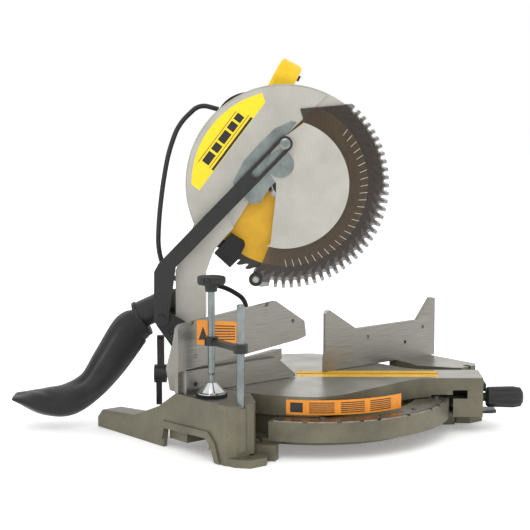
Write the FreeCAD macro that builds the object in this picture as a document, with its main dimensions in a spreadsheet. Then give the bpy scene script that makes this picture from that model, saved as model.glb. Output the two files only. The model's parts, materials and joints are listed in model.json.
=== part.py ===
# Compound miter saw, 305 mm blade, built as a parametric document of separate sub-parts.
#
# Millimetres, +Z up.  The origin is the miter axis on the bench plane, in the middle of the
# four bench bolt holes.  +X is the saw's right, -Y is the front, where the operator stands.
# Parts of the table and the head are drawn with the saw set straight and are then turned
# about the miter axis to the rest position, which is the right-hand miter stop.
import FreeCAD, Part
import Sketcher
import math
import os
import re
from FreeCAD import Vector, Placement, Rotation

doc = FreeCAD.newDocument("MiterSaw")

# ------------------------------------------------------------------ driving dimensions
SIZES = {
    # base and table
    "table_top": 90, "base_half": 269, "wing_front": 117, "wall": 7, "deck": 8,
    "table_rad": 185, "well_gap": 2.5, "pan_rad": 180, "pan_low": 14, "pan_top": 28,
    "rail_wide": 36, "foot_thick": 12, "foot_front": 141, "foot_back": 236,
    "bolt_x": 240, "bolt_y": 125, "bolt_rad": 4.5,
    "scale_top": 57, "scale_rad": 219, "scale_low": 27, "scale_half": 60,
    "miter_rest": 50, "arm_half": 35, "arm_end": 271, "arm_low": 26,
    # fences
    "fence_thick": 14, "fence_low": 37, "fence_tilt": 5.8,
    # kerf plate
    "kerf_half": 26, "kerf_front": 201, "kerf_back": 30, "kerf_thick": 4,
    "kerf_left": 2.5, "kerf_right": 7,
    # tilt and chop pivots
    "tail_face": 197, "flange_rad": 43, "chop_y": 200, "chop_z": 158, "chop_rad": 10,
    "knuckle_rad": 25, "cheek_in": 24, "cheek_thick": 6.5,
    # blade and spindle
    "blade_y": 50, "blade_z": 402, "blade_rad": 152.5, "blade_thick": 2.4, "teeth": 60,
    "bore_rad": 12.7, "flange_disc": 28, "spindle_rad": 12.65, "bearing_rad": 26,
    # guards
    "guard_rad": 159.5, "guard_wall": 3, "guard_left": 17, "guard_right": 15,
    "shield_rad": 167, "shield_left": 22.8, "shield_right": 18.5, "shield_wall": 2.4,
    "pivot_y": 57, "pivot_z": 434.5, "hub_rad": 103,
    "link_y": 248, "link_z": 187, "link_half": 12, "link_thick": 6, "link_out": 36.2,
    # drive
    "motor_y": 112, "motor_z": 495, "motor_rad": 52, "case_in": 21.5, "case_wide": 31,
    "motor_long": 130, "pulley_small": 14, "pulley_big": 34, "belt_thick": 3.5,
    # mains lead
    "lead_rad": 4, "spout_rad": 22,
    # work clamp
    "pole_x": 243, "pole_y": 110, "pole_rad": 6, "screw_x": 236, "screw_y": 30,
}
sheet = doc.addObject("Spreadsheet::Sheet", "Dims")
for row, (word, size) in enumerate(SIZES.items(), start=1):
    sheet.set(f"A{row}", word)
    sheet.set(f"B{row}", str(size))
    sheet.setAlias(f"B{row}", word)
doc.recompute()
WORDS = re.compile(r"\b(" + "|".join(SIZES) + r")\b")
PLANES = {"XY": "XY_Plane", "XZ": "XZ_Plane", "YZ": "YZ_Plane"}
TURN = Placement(Vector(0, 0, 0), Rotation(Vector(0, 0, 1), SIZES["miter_rest"]))
ALONG_X = Rotation(Vector(0, 1, 0), 90)
ALONG_Y = Rotation(Vector(1, 0, 0), -90)
parts = []


def size(word):
    """One driving dimension as a number."""
    return SIZES[word]


def bound(text):
    """A size written with plain words, as an expression on the sheet."""
    return WORDS.sub(r"Dims.\1", str(text))


def number(text):
    """The value of such a size."""
    value = sheet.evalExpression(bound(text))
    return float(getattr(value, "Value", value))


def fix(sketch, kind, geo, pos, text):
    """Place one coordinate of a sketch point from a size."""
    index = sketch.addConstraint(Sketcher.Constraint(kind, -1, 1, geo, pos, number(text)))
    sketch.setExpression(f"Constraints[{index}]", bound(text))


def draw_circle(sketch, x, y, radius):
    centre = Vector(number(x), number(y), 0)
    circle = Part.Circle(centre, Vector(0, 0, 1), number(radius))
    geo = sketch.addGeometry(circle, False)
    fix(sketch, "DistanceX", geo, 3, x)
    fix(sketch, "DistanceY", geo, 3, y)
    index = sketch.addConstraint(Sketcher.Constraint("Radius", geo, number(radius)))
    sketch.setExpression(f"Constraints[{index}]", bound(radius))


def draw_path(sketch, points):
    """A closed outline; a point with a third entry is one that an arc passes through."""
    corners = [i for i, p in enumerate(points) if len(p) == 2]
    ends = []
    for here, there in zip(corners, corners[1:] + [corners[0] + len(points)]):
        a = points[here]
        b = points[there % len(points)]
        start = Vector(number(a[0]), number(a[1]), 0)
        end = Vector(number(b[0]), number(b[1]), 0)
        if there - here == 1:
            geo = sketch.addGeometry(Part.LineSegment(start, end), False)
            ends.append((geo, 1, 2, a))
            continue
        via = points[here + 1]
        middle = Vector(number(via[0]), number(via[1]), 0)
        left = (middle - start).cross(end - middle).z > 0
        order = (start, middle, end) if left else (end, middle, start)
        geo = sketch.addGeometry(Part.Arc(*order), False)
        ends.append((geo, 1 if left else 2, 2 if left else 1, a))
        mark = sketch.addGeometry(Part.Point(middle), True)
        fix(sketch, "DistanceX", mark, 1, via[0])
        fix(sketch, "DistanceY", mark, 1, via[1])
        sketch.addConstraint(Sketcher.Constraint("PointOnObject", mark, 1, geo))
    for this, following in zip(ends, ends[1:] + ends[:1]):
        sketch.addConstraint(Sketcher.Constraint("Coincident", this[0], this[2], following[0], following[1]))
    for geo, first, last, corner in ends:
        fix(sketch, "DistanceX", geo, first, corner[0])
        fix(sketch, "DistanceY", geo, first, corner[1])


def make_sketch(body, plane, height, outlines):
    """A sketch parallel to an origin plane, with circles (x, y, r) or point lists."""
    sketch = body.newObject("Sketcher::SketchObject", "Outline")
    support = [f for f in body.Origin.OriginFeatures if f.Role == PLANES[plane]][0]
    sketch.AttachmentSupport = [(support, "")]
    sketch.MapMode = "FlatFace"
    sketch.setExpression("AttachmentOffset.Base.z", bound(height))
    for outline in outlines:
        if isinstance(outline, tuple):
            draw_circle(sketch, *outline)
        else:
            draw_path(sketch, outline)
    return sketch


def begin(label, group=None):
    """A new sub-part; group is the placement that it is drawn in."""
    body = doc.addObject("PartDesign::Body", label)
    body.Label = label
    parts.append((body, group or Placement()))
    return body


def pad(body, plane, low, length, outlines):
    """Material from low to low + length along the plane's world axis."""
    back = plane == "XZ"
    sketch = make_sketch(body, plane, f"-({low})" if back else low, outlines)
    feature = body.newObject("PartDesign::Pad", "Pad")
    feature.Profile = sketch
    feature.Reversed = back
    feature.setExpression("Length", bound(length))
    doc.recompute()
    return feature


def cut(body, plane, low, length, outlines):
    """Material taken away from low to low + length along the plane's world axis."""
    height = f"-({low})" if plane == "XZ" else f"({low}) + ({length})"
    sketch = make_sketch(body, plane, height, outlines)
    before = body.Shape.Volume
    feature = body.newObject("PartDesign::Pocket", "Pocket")
    feature.Profile = sketch
    feature.setExpression("Length", bound(length))
    doc.recompute()
    if body.Shape.Volume > before - 0.01:
        raise RuntimeError(f"{body.Label}: a cut takes nothing away")
    return feature


def spin(body, outline, angle=360):
    """A turned shape from an outline of (radius, height) about Z."""
    sketch = make_sketch(body, "XZ", "0", [outline])
    feature = body.newObject("PartDesign::Revolution", "Turned")
    feature.Profile = sketch
    feature.ReferenceAxis = (sketch, ["V_Axis"])
    feature.Angle = angle
    doc.recompute()
    return feature


def ring_of(body, features, count, angle, axis_plane):
    """Copies of features round the body's own axis normal to a plane."""
    pattern = body.newObject("PartDesign::PolarPattern", "Ring")
    pattern.Originals = features
    axis = {"XY": "Z_Axis", "YZ": "X_Axis"}[axis_plane]
    pattern.Axis = ([f for f in body.Origin.OriginFeatures if f.Role == axis][0], [""])
    pattern.Angle = angle
    pattern.setExpression("Occurrences", bound(count))
    body.Tip = pattern
    doc.recompute()
    return pattern


def round_edges(body, radius, wanted):
    """Fillet the edges that wanted(edge) picks; the radius is a size."""
    names = [f"Edge{i}" for i, e in enumerate(body.Shape.Edges, start=1) if wanted(e)]
    base = body.Tip
    feature = body.newObject("PartDesign::Fillet", "Fillet")
    feature.Base = (base, names)
    feature.setExpression("Radius", bound(radius))
    doc.recompute()
    if not feature.isValid() or feature.Shape.isNull():
        raise RuntimeError(f"{body.Label}: fillet")
    return feature


def along(axis):
    """Picks straight edges that run along one axis."""
    direction = Vector(axis == "X", axis == "Y", axis == "Z")

    def test(edge):
        if not isinstance(edge.Curve, Part.Line):
            return False
        return abs(abs(edge.Curve.Direction.dot(direction)) - 1) < 1e-6
    return test


def at_level(axis, level):
    """Picks the edges that lie wholly at one level of an axis."""
    def test(edge):
        box = edge.BoundBox
        low, high = {"X": (box.XMin, box.XMax), "Y": (box.YMin, box.YMax), "Z": (box.ZMin, box.ZMax)}[axis]
        return abs(low - level) < 1e-4 and abs(high - level) < 1e-4
    return test


def box_outline(x0, y0, x1, y1):
    return [(x0, y0), (x1, y0), (x1, y1), (x0, y1)]


def turned(label, outline, where, rotation, group=None):
    """A turned sub-part with its foot at a point and its axis along the rotation's Z."""
    body = begin(label, (group or Placement()).multiply(Placement(where, rotation)))
    spin(body, outline)
    return body


def solid_part(label, shape, group=None):
    """A sub-part whose shape comes from Part's own functions."""
    feature = doc.addObject("Part::Feature", label)
    feature.Label = label
    feature.Shape = shape
    parts.append((feature, (group or Placement()).multiply(shape.Placement)))
    return feature


# ------------------------------------------------------------------ base
def make_base_casting():
    """Hollow casting: two side members with decks, a round pan, the scale apron and feet."""
    body = begin("base_casting")
    profile = [("-wing_front", "0"), ("-wing_front", "table_top"), ("18", "table_top"), ("62", "63"),
               ("130", "37"), ("foot_back - 14", "30"), ("foot_back", "16"), ("foot_back", "0")]
    inner = [("-wing_front + wall", "-1"), ("-wing_front + wall", "table_top - deck"),
             ("14", "table_top - deck"), ("60", "63 - deck"), ("129", "37 - deck"),
             ("foot_back - 16", "30 - deck"), ("foot_back - wall", "12"), ("foot_back - wall", "-1")]
    arch = [("-82", "-1"), ("-72", "24"), ("-60", "34"), ("46", "31"), ("52", "-1")]
    lip = [("-94", "1"), ("-83", "30"), ("-66", "45"), ("50", "42"), ("60", "12"), ("52", "12"),
           ("46", "31"), ("-60", "34"), ("-72", "24"), ("-82", "1")]
    pad(body, "XY", "pan_low", "pan_top - pan_low", [("0", "0", "pan_rad")])
    for side, low in (("-", "-base_half"), ("", "base_half - rail_wide")):
        pad(body, "XY", "pan_low", "pan_top - pan_low",
            [box_outline("0", "-95", f"{side}(base_half - 2)", "-55"),
             box_outline("0", "0", f"{side}(base_half - 2)", "45")])
        pad(body, "YZ", low, "rail_wide", [profile])
        hollow_from = "-base_half + wall" if side else "base_half - rail_wide - 1"
        cut(body, "YZ", hollow_from, "rail_wide - wall + 1", [inner])
    for side in ("-", ""):
        wing = [(f"{side}(base_half)", "-wing_front + 12"), (f"{side}(base_half - 12)", "-wing_front"),
                (f"{side}(base_half - 46)", "-wing_front"), (f"{side}(base_half - 56)", "-wing_front + 9"),
                (f"{side}(table_rad - 5)", "-55"), (f"{side}(table_rad + 1)", "18"),
                (f"{side}(base_half)", "18")]
        room = [(f"{side}(base_half - wall)", "-wing_front + 15"), (f"{side}(base_half - 15)", "-wing_front + wall"),
                (f"{side}(base_half - 44)", "-wing_front + wall"), (f"{side}(base_half - 49)", "-wing_front + 13"),
                (f"{side}(table_rad + 4)", "-52"), (f"{side}(table_rad + 9)", "19"),
                (f"{side}(base_half - wall)", "19")]
        pad(body, "XY", "pan_low", "table_top - pan_low", [wing])
        cut(body, "XY", "-1", "table_top - deck + 1", [room])
        corner = [(f"{side}(base_half + 5)", "-wing_front - 5"), (f"{side}(base_half - 12)", "-wing_front - 5"),
                  (f"{side}(base_half - 12)", "-wing_front"), (f"{side}(base_half)", "-wing_front + 12"),
                  (f"{side}(base_half + 5)", "-wing_front + 12")]
        cut(body, "XY", "-1", "table_top + 2", [corner])
        pad(body, "XY", "pan_low", "pan_top - pan_low",
            [box_outline(f"{side}(pan_rad - 30)", "-95", f"{side}(base_half - 2)", "-55"),
             box_outline(f"{side}(pan_rad - 20)", "0", f"{side}(base_half - 2)", "45")])
        pad(body, "XY", "0", "arm_low - 1.5",
            [[(f"{side}(base_half - 54)", "-wing_front + 11"), (f"{side}(table_rad + 9)", "-wing_front - 14"),
              (f"{side}(table_rad - 6)", "-wing_front - 4"), (f"{side}(table_rad + 4)", "-70")]])
        pad(body, "XY", "0", "scale_low + 3",
            [[(f"{side}(table_rad + 9)", "-wing_front + 17"), (f"{side}(table_rad - 6)", "-wing_front - 4"),
              (f"{side}(table_rad + 4)", "-70")]])
        front_foot = [(f"{side}(base_half - 2)", "-90"), (f"{side}(base_half - 5)", "-wing_front - 5"),
                      (f"{side}(base_half - 20)", "-foot_front"), (f"{side}(base_half - 50)", "-foot_front"),
                      (f"{side}(base_half - 66)", "-foot_front + 16"), (f"{side}(base_half - 66)", "-90")]
        back_foot = box_outline(f"{side}(base_half - 3)", "foot_back - 56", f"{side}(base_half - 66)", "foot_back")
        lug = box_outline(f"{side}(base_half - 3)", "bolt_y - 18", f"{side}(bolt_x - 18)", "bolt_y + 18")
        for outline in (front_foot, back_foot, lug):
            pad(body, "XY", "0", "foot_thick", [outline])
        for end in ("-", ""):
            cut(body, "XY", "-1", "foot_thick + 2", [(f"{side}bolt_x", f"{end}bolt_y", "bolt_rad")])
        pad(body, "XY", "20", "table_top - 24", [(f"{side}pole_x", "-pole_y + 2", "pole_rad + 5")])
    for low in ("-base_half", "base_half - wall"):
        cut(body, "YZ", f"{low} - 1", "wall + 2", [arch])
        pad(body, "YZ", f"{low} - (3)" if low[0] == "-" else f"{low} + wall - 1", "4", [lip])
    make_scale_apron(body)
    pad(body, "XY", "pan_top - 1", "scale_top - pan_top + 1", [("0", "0", "pan_rad - 2"), ("0", "0", "pan_rad - 14")])
    pad(body, "XY", "pan_top - 1", "scale_top - pan_top + 1", [("0", "0", "28")])
    cut(body, "XY", "pan_low - 1", "scale_top + 1", [("0", "0", "8.05")])
    cut(body, "XY", "scale_top + 0.01", "40", [("0", "0", "table_rad + well_gap")])
    for side in ("-", ""):
        cut(body, "XY", "30", "table_top - 29", [(f"{side}pole_x", "-pole_y", "pole_rad + 0.05")])
        cut(body, "XY", "table_top - 16", "17",
            [box_outline(f"{side}pole_x - 2.5", "-wing_front - 1", f"{side}pole_x + 2.5", "-pole_y")])
    return body


def make_scale_apron(body):
    """The curved ledge and front wall under the miter scale."""
    section = [("-scale_rad", "scale_low"), ("-scale_rad", "scale_top"), ("-(pan_rad - 4)", "scale_top"),
               ("-(pan_rad - 4)", "scale_top - 6"), ("-(scale_rad - wall)", "scale_top - 6"),
               ("-(scale_rad - wall)", "scale_low")]
    sketch = make_sketch(body, "YZ", "0", [section])
    apron = body.newObject("PartDesign::Revolution", "Apron")
    apron.Profile = sketch
    apron.ReferenceAxis = (sketch, ["V_Axis"])
    apron.Midplane = True
    apron.setExpression("Angle", bound("2 * scale_half"))
    doc.recompute()


def make_miter_scale():
    """Steel scale plate with its detent notches, screwed to the ledge."""
    body = begin("miter_scale")
    section = [("-(scale_rad - 0.5)", "scale_top"), ("-(scale_rad - 0.5)", "scale_top + 2"),
               ("-(table_rad + 3)", "scale_top + 2"), ("-(table_rad + 3)", "scale_top")]
    sketch = make_sketch(body, "YZ", "0", [section])
    plate = body.newObject("PartDesign::Revolution", "Plate")
    plate.Profile = sketch
    plate.ReferenceAxis = (sketch, ["V_Axis"])
    plate.Midplane = True
    plate.setExpression("Angle", bound("2 * scale_half - 4"))
    doc.recompute()
    for angle in DETENTS:
        for way in ((1,) if angle == 0 else (-1, 1)):
            notch = make_sketch(body, "XY", "scale_top + 3", [box_outline("-3.5", "-scale_rad - 1", "3.5", "-scale_rad + 6")])
            notch.AttachmentOffset = Placement(Vector(0, 0, number("scale_top + 3")), Rotation(way * angle, 0, 0))
            pocket = body.newObject("PartDesign::Pocket", "Detent")
            pocket.Profile = notch
            pocket.Length = 4
    doc.recompute()
    for angle in SCREW_ANGLES:
        cut(body, "XY", "scale_top - 1", "4", [screw_circle(angle, "2.6")])
    return body


DETENTS = (0, 15, 22.5, 31.6, 45)
SCREW_ANGLES = (-38, -10, 10, 38)


def screw_circle(angle, radius):
    """A circle on the screw circle of the scale plate."""
    turn = math.radians(angle)
    return (f"(scale_rad - 20) * {math.sin(turn):.6f}", f"-(scale_rad - 20) * {math.cos(turn):.6f}", radius)


def make_scale_screws():
    """Pan-head screws that hold the scale plate, one node of separate solids."""
    screws = []
    for angle in SCREW_ANGLES:
        turn = math.radians(angle)
        x = (size("scale_rad") - 20) * math.sin(turn)
        y = -(size("scale_rad") - 20) * math.cos(turn)
        shank = Part.makeCylinder(2.5, 2.0, Vector(x, y, size("scale_top")))
        head = Part.makeCylinder(4.5, 2.4, Vector(x, y, size("scale_top") + 2))
        slot = Part.makeBox(7, 1, 1.2, Vector(x - 3.5, y - 0.5, size("scale_top") + 3.4))
        screws.append(shank.fuse(head).cut(slot).removeSplitter())
    return solid_part("scale_screws", Part.makeCompound(screws))


# ------------------------------------------------------------------ fences
def tilted(x, height):
    """Height on the sloping top line of the left fence rail."""
    slope = math.tan(math.radians(size("fence_tilt")))
    return f"({height}) + (({x}) + base_half) * {slope:.6f}"


def make_left_base_fence():
    """Polished lower fence with the sloping guide rail behind it."""
    body = begin("left_base_fence")
    over_table = [("-table_rad - 5", "table_top + 0.6"), ("-table_rad - 5", "table_top")]
    face = [("-base_half + 7", "table_top"), ("-base_half + 7", "table_top + fence_low - 0.6"),
            ("-81", "table_top + fence_low - 0.6"), ("-42", "table_top + 5"), ("-42", "table_top + 0.6")] + over_table
    pad(body, "XZ", "0", "fence_thick", [face])
    rail = [("-base_half + 1", "table_top"),
            ("-base_half + 1", tilted("-base_half + 1", "table_top + fence_low - 0.6")),
            ("-40", tilted("-40", "table_top + fence_low - 0.6")), ("-40", "table_top + 42"),
            ("-72", "table_top + 24"), ("-72", "table_top + 0.6")] + over_table
    pad(body, "XZ", "fence_thick - 1", "9", [rail])
    relief = [("-74", "fence_thick + 9"), ("-38", "fence_thick + 9"), ("-38", "-1"), ("-41", "-1")]
    cut(body, "XY", "table_top - 1", "120", [relief])
    slot = [("-150", tilted("-150", "table_top + fence_low - 11")),
            ("-48", tilted("-48", "table_top + fence_low - 11")),
            ("-48", tilted("-48", "table_top + fence_low - 4.4")),
            ("-150", tilted("-150", "table_top + fence_low - 4.4"))]
    cut(body, "XZ", "-1", "fence_thick + 12", [slot])
    cut(body, "XZ", "-1", "fence_thick + 12", [("-244", "table_top + 14", "3.6")])
    return body


def make_left_upper_fence():
    """Tall sliding fence, a ribbed plate that rides on the sloping rail."""
    body = begin("left_upper_fence")
    low = "table_top + fence_low"
    outline = [("-base_half - 8", tilted("-base_half - 8", low)), ("-base_half - 8", "table_top + 104"),
               ("-base_half - 4", "table_top + 109"), ("-88", "table_top + 127.5"), ("-82", "table_top + 127.5"),
               ("-23", "table_top + 90"), ("-19", "table_top + 65"), ("-37", "table_top + 60.5")]
    pad(body, "XZ", "0", "8", [outline])
    foot = [("-base_half - 8", tilted("-base_half - 8", low)),
            ("-base_half - 8", tilted("-base_half - 8", "table_top + fence_low + 9")),
            ("-60", tilted("-60", "table_top + fence_low + 9")), ("-60", tilted("-60", low))]
    pad(body, "XZ", "7", "15", [foot])
    end = [("-base_half - 8", tilted("-base_half - 8", low)), ("-base_half - 8", "table_top + 104"),
           ("-base_half - 1", "table_top + 104"), ("-base_half - 1", tilted("-base_half - 1", low))]
    pad(body, "XZ", "7", "15", [end])
    slant = [("6", "table_top + 112"), ("30", "table_top + 112"), ("30", "table_top + 50"), ("22", "table_top + 50")]
    cut(body, "YZ", "-base_half - 10", "10", [slant])
    holes = [("-244", "table_top + 58", "3.6"), ("-48", "table_top + 92", "3.4")]
    for hole in holes:
        cut(body, "XZ", "-1", "12", [hole])
    for x in ("-251", "-104"):
        cut(body, "XZ", "-1", "4", [(x, f"table_top + 109.5 + (({x}) + base_half) * 0.0985", "5")])
    relief = [("-60", "25"), ("-10", "25"), ("-10", "-1"), ("-19", "-1"), ("-30", "9")]
    cut(body, "XY", "table_top + 40", "120", [relief])
    return body


def make_right_fence():
    """One-piece right fence with its two ears."""
    body = begin("right_fence")
    over_table = [("table_rad + 5", "table_top"), ("table_rad + 5", "table_top + 0.6")]
    outline = [("12", "table_top + 0.6"), ("12", "table_top + 16"), ("22", "table_top + 34"),
               ("22", "table_top + 97"), ("32", "table_top + 102"), ("92", "table_top + 65"),
               ("236", "table_top + 65"), ("266", "table_top + 100"), ("278", "table_top + 100"),
               ("278", "table_top")] + over_table
    pad(body, "XZ", "0", "fence_thick", [outline])
    thin = [("30", "table_top + 40"), ("30", "table_top + 120"), ("272", "table_top + 120"),
            ("272", "table_top + 40")]
    cut(body, "XZ", "8", "fence_thick", [thin])
    foot = [("72", "table_top + 0.6"), ("72", "table_top + 16"), ("base_half - 1", "table_top + 16"),
            ("base_half - 1", "table_top")] + over_table
    pad(body, "XZ", "fence_thick - 1", "9", [foot])
    relief = [("11", "-1"), ("14.5", "-1"), ("47", "fence_thick + 10"), ("11", "fence_thick + 10")]
    cut(body, "XY", "table_top - 1", "120", [relief])
    for hole in (("118", "table_top + 48", "3.2"), ("206", "table_top + 30", "3.2"), ("248", "table_top + 52", "3.2")):
        cut(body, "XZ", "-1", "fence_thick + 12", [hole])
    return body


# ------------------------------------------------------------------ table
def make_turntable():
    """Round table with the nose, the miter arm and the rear tail that carries the tilt."""
    body = begin("turntable", TURN)
    top = [("arm_half", "-arm_end"), ("arm_half", "-205"), ("44", "-166", "via"), ("66", "-136"),
           ("122", "-82"), ("162", "-44"), ("table_rad", "0"), ("0", "table_rad", "via"),
           ("-table_rad", "0"), ("-162", "-44"), ("-122", "-82"), ("-66", "-136"),
           ("-44", "-166", "via"), ("-arm_half", "-205"), ("-arm_half", "-arm_end")]
    pad(body, "XY", "scale_top + 2.3", "table_top - scale_top - 2.3", [top])
    room = [("arm_half - 7", "-225"), ("arm_half - 7", "-200"), ("58", "-134"), ("112", "-82"),
            ("150", "-44"), ("table_rad - 9", "0"), ("0", "table_rad - 9", "via"), ("-(table_rad - 9)", "0"),
            ("-150", "-44"), ("-112", "-82"), ("-58", "-134"), ("-(arm_half - 7)", "-200"),
            ("-(arm_half - 7)", "-225")]
    cut(body, "XY", "scale_top + 1", "table_top - scale_top - 10", [room])
    pad(body, "XY", "arm_low", "scale_top + 3 - arm_low",
        [box_outline("-arm_half", "-arm_end", "arm_half", "-(scale_rad + 4)")])
    cut(body, "XY", "arm_low - 1", "table_top - arm_low - 9",
        [box_outline("-(arm_half - 6)", "-(arm_end - 7)", "arm_half - 6", "-(scale_rad - 2)")])
    cut(body, "YZ", "-arm_half - 1", "7.5", [box_outline("-246", "table_top - 20", "-222", "table_top - 34")])
    pad(body, "XY", "scale_top + 0.5", "table_top - scale_top - 4", [("0", "0", "26")])
    pad(body, "XY", "scale_top + 2.3", "table_top - scale_top - 2.3",
        [box_outline("-30", "table_rad - 12", "30", "tail_face - 12")])
    pad(body, "XZ", "tail_face - 12", "12", [("0", "table_top", "flange_rad")])
    for side in ("-", ""):
        pad(body, "XZ", "table_rad - 6", "8", [box_outline(f"{side}10", "scale_top + 4", f"{side}36", "table_top + 18")])
    slot = box_outline("-kerf_half + 7", "-kerf_front + 8", "kerf_half - 7", "kerf_back - 8")
    seat = box_outline("-kerf_half - 0.2", "-kerf_front - 0.2", "kerf_half + 0.2", "kerf_back + 0.2")
    cut(body, "XY", "table_top - 22", "30", [slot])
    cut(body, "XY", "table_top - kerf_thick", "kerf_thick + 1", [seat])
    cut(body, "XY", "scale_top - 2", "14", [("0", "0", "8.05")])
    cut(body, "XZ", "tail_face - 20", "24", [("0", "table_top", "7.05")])
    cut(body, "XZ", "tail_face - 27", "15.1", [("0", "table_top", "11.1")])
    cut(body, "XZ", "-arm_end - 1", "9", [("0", "52", "7.3")])
    cut(body, "XZ", "-arm_end - 1", "9", [box_outline("-18", "arm_low + 1", "18", "arm_low + 7")])
    cut(body, "XY", "scale_top + 1", "4.5", [box_outline("-52", "-(scale_rad + 3)", "52", "-(scale_rad - 32)")])
    return body


def make_kerf_plates():
    """The two plastic inserts beside the blade slot, one node of two solids."""
    plates = []
    top = size("table_top")
    for near, far in ((-size("kerf_left"), -size("kerf_half")), (size("kerf_right"), size("kerf_half"))):
        low, high = min(near, far), max(near, far)
        plate = Part.makeBox(high - low, size("kerf_front") + size("kerf_back"), size("kerf_thick"),
                             Vector(low, -size("kerf_front"), top - size("kerf_thick")))
        for y in (-size("kerf_front") + 8, -size("kerf_front") / 2, size("kerf_back") - 8):
            x = far * 0.8
            plate = plate.cut(Part.makeCylinder(1.8, 20, Vector(x, y, top - 10)))
            plate = plate.cut(Part.makeCone(1.8, 3.6, 1.8, Vector(x, y, top - 1.8)))
        plates.append(plate)
    return solid_part("kerf_plates", Part.makeCompound(plates), TURN)


def make_pivot_bolt():
    """Shouldered bolt on the miter axis, with a nut and washer under the pan."""
    outline = [("0", "6"), ("7", "6"), ("7", "9.5"), ("13", "9.5"), ("13", "13.7"), ("8", "13.7"),
               ("8", "scale_top + 9"), ("0", "scale_top + 9")]
    return turned("miter_pivot_bolt", outline, Vector(0, 0, 0), Rotation())


def make_lock_parts():
    """Miter lock knob moulded on its rod, and the detent lever below it."""
    front = -size("arm_end")
    body = begin("lock_knob", TURN.multiply(Placement(Vector(0, front - 9.5, 52), Rotation(Vector(1, 0, 0), 90))))
    reach = "arm_end + 9.5 - scale_rad - 1.2"
    spin(body, [("0", f"-({reach})"), ("4", f"-({reach})"), ("5", "-40"), ("5", "-20"), ("7", "-20"), ("7", "0"),
                ("14", "0"), ("16.5", "3"), ("17.5", "44"), ("15.5", "56"), ("9", "60"), ("0", "60")])
    flute = cut(body, "XY", "6", "58", [("0", "18.6", "3.2")])
    ring_of(body, [flute], "10", 360, "XY")
    lever = begin("detent_lever", TURN)
    pad(lever, "XY", "arm_low + 2", "4",
        [[("-12", "-(arm_end + 25)"), ("12", "-(arm_end + 25)"), ("17", "-(arm_end + 18)"), ("17", "-(scale_rad + 1)"),
          ("-17", "-(scale_rad + 1)"), ("-17", "-(arm_end + 18)")]])
    pad(lever, "XY", "arm_low + 5", "scale_top - arm_low - 3.2",
        [box_outline("8", "-(scale_rad + 6)", "14", "-(scale_rad + 1)")])
    return lever


def make_override():
    """Thumb latch on the end of the arm that holds the detent lever off."""
    body = begin("override_latch", TURN)
    pad(body, "XZ", "-(arm_end + 7)", "6.7",
        [[("-20", "table_top - 12"), ("20", "table_top - 12"), ("20", "table_top - 19"), ("9", "table_top - 27"),
          ("-9", "table_top - 27"), ("-20", "table_top - 19")]])
    round_edges(body, "1.5", at_level("Y", -number("arm_end + 7")))
    return body


# ------------------------------------------------------------------ tilting arm
def make_bevel_arm():
    """Casting that turns on the tail flange and holds the chop pivot in a fork."""
    body = begin("bevel_arm", TURN)
    face = "tail_face + 0.3"
    pad(body, "XZ", face, "12", [("0", "table_top", "flange_rad")])
    side = [("tail_face + 6", "table_top - 30"), ("tail_face + 6", "chop_z - 34"), ("chop_y - knuckle_rad", "chop_z - 6"),
            ("chop_y - knuckle_rad", "chop_z + 4"), ("chop_y - 8", "chop_z + knuckle_rad - 1"),
            ("chop_y + 12", "chop_z + knuckle_rad - 3"), ("chop_y + knuckle_rad + 2", "chop_z + 6"),
            ("chop_y + 42", "table_top + 14"), ("chop_y + 36", "table_top - 22")]
    pad(body, "YZ", "-(cheek_in + cheek_thick)", "2 * (cheek_in + cheek_thick)", [side])
    fork = [("chop_y - 60", "chop_z - 31"), ("chop_y + 30", "chop_z - 31"), ("chop_y + 90", "chop_z - 31"),
            ("chop_y + 90", "chop_z + 60"), ("chop_y - 60", "chop_z + 60")]
    cut(body, "YZ", "-cheek_in", "2 * cheek_in", [fork])
    cut(body, "YZ", "-cheek_in - 20", "2 * cheek_in + 40", [("chop_y", "chop_z", "chop_rad + 0.02")])
    cut(body, "XZ", "tail_face - 1", "80", [("0", "table_top", "7.05")])
    cut(body, "YZ", "cheek_in - 10", "cheek_thick + 20", [("chop_y + 8", "chop_z - 42", "5")])
    return body


def make_link_anchor():
    """Plastic-covered bracket that holds the lower end of the guard link."""
    body = begin("link_anchor", TURN)
    low = "-(cheek_in + cheek_thick) - 5.2"
    outline = [("chop_y - 22", "chop_z - 3"), ("chop_y - 12", "chop_z + 10"), ("link_y - 8", "link_z + 12"),
               ("link_y + 4", "link_z + 12"), ("link_y + 11", "link_z + 2"), ("link_y + 8", "link_z - 12"),
               ("chop_y + 30", "chop_z - 20"), ("chop_y", "chop_z - 14")]
    pad(body, "YZ", low, "5", [outline])
    pad(body, "YZ", "-(cheek_in + cheek_thick) - 0.3", "7.3",
        [[("chop_y + 32", "chop_z - 8"), ("chop_y + 32", "chop_z + 20"), ("link_y - 8", "link_z + 8"),
          ("link_y + 4", "link_z + 8"), ("link_y + 6", "link_z - 8")]])
    for centre in (("chop_y + 14", "chop_z + 3", "5.5"), ("chop_y + 31", "chop_z + 8", "6")):
        cut(body, "YZ", f"({low}) - 1", "3.5", [centre])
    pad(body, "YZ", "-link_out - link_thick - 0.6", "link_thick + 2", [("link_y", "link_z", "4")])
    pad(body, "YZ", "-link_out - link_thick - 3", "2.7", [("link_y", "link_z", "7.5")])
    return body


def make_chop_pin():
    """Hollow chop pivot pin through both cheeks and the arm."""
    half = size("cheek_in") + size("cheek_thick")
    outline = [("4", "0"), ("chop_rad", "0"), ("chop_rad", f"{2 * half}"), ("4", f"{2 * half}")]
    return turned("chop_pin", outline, Vector(-half, size("chop_y"), size("chop_z")), ALONG_X, TURN)


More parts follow.
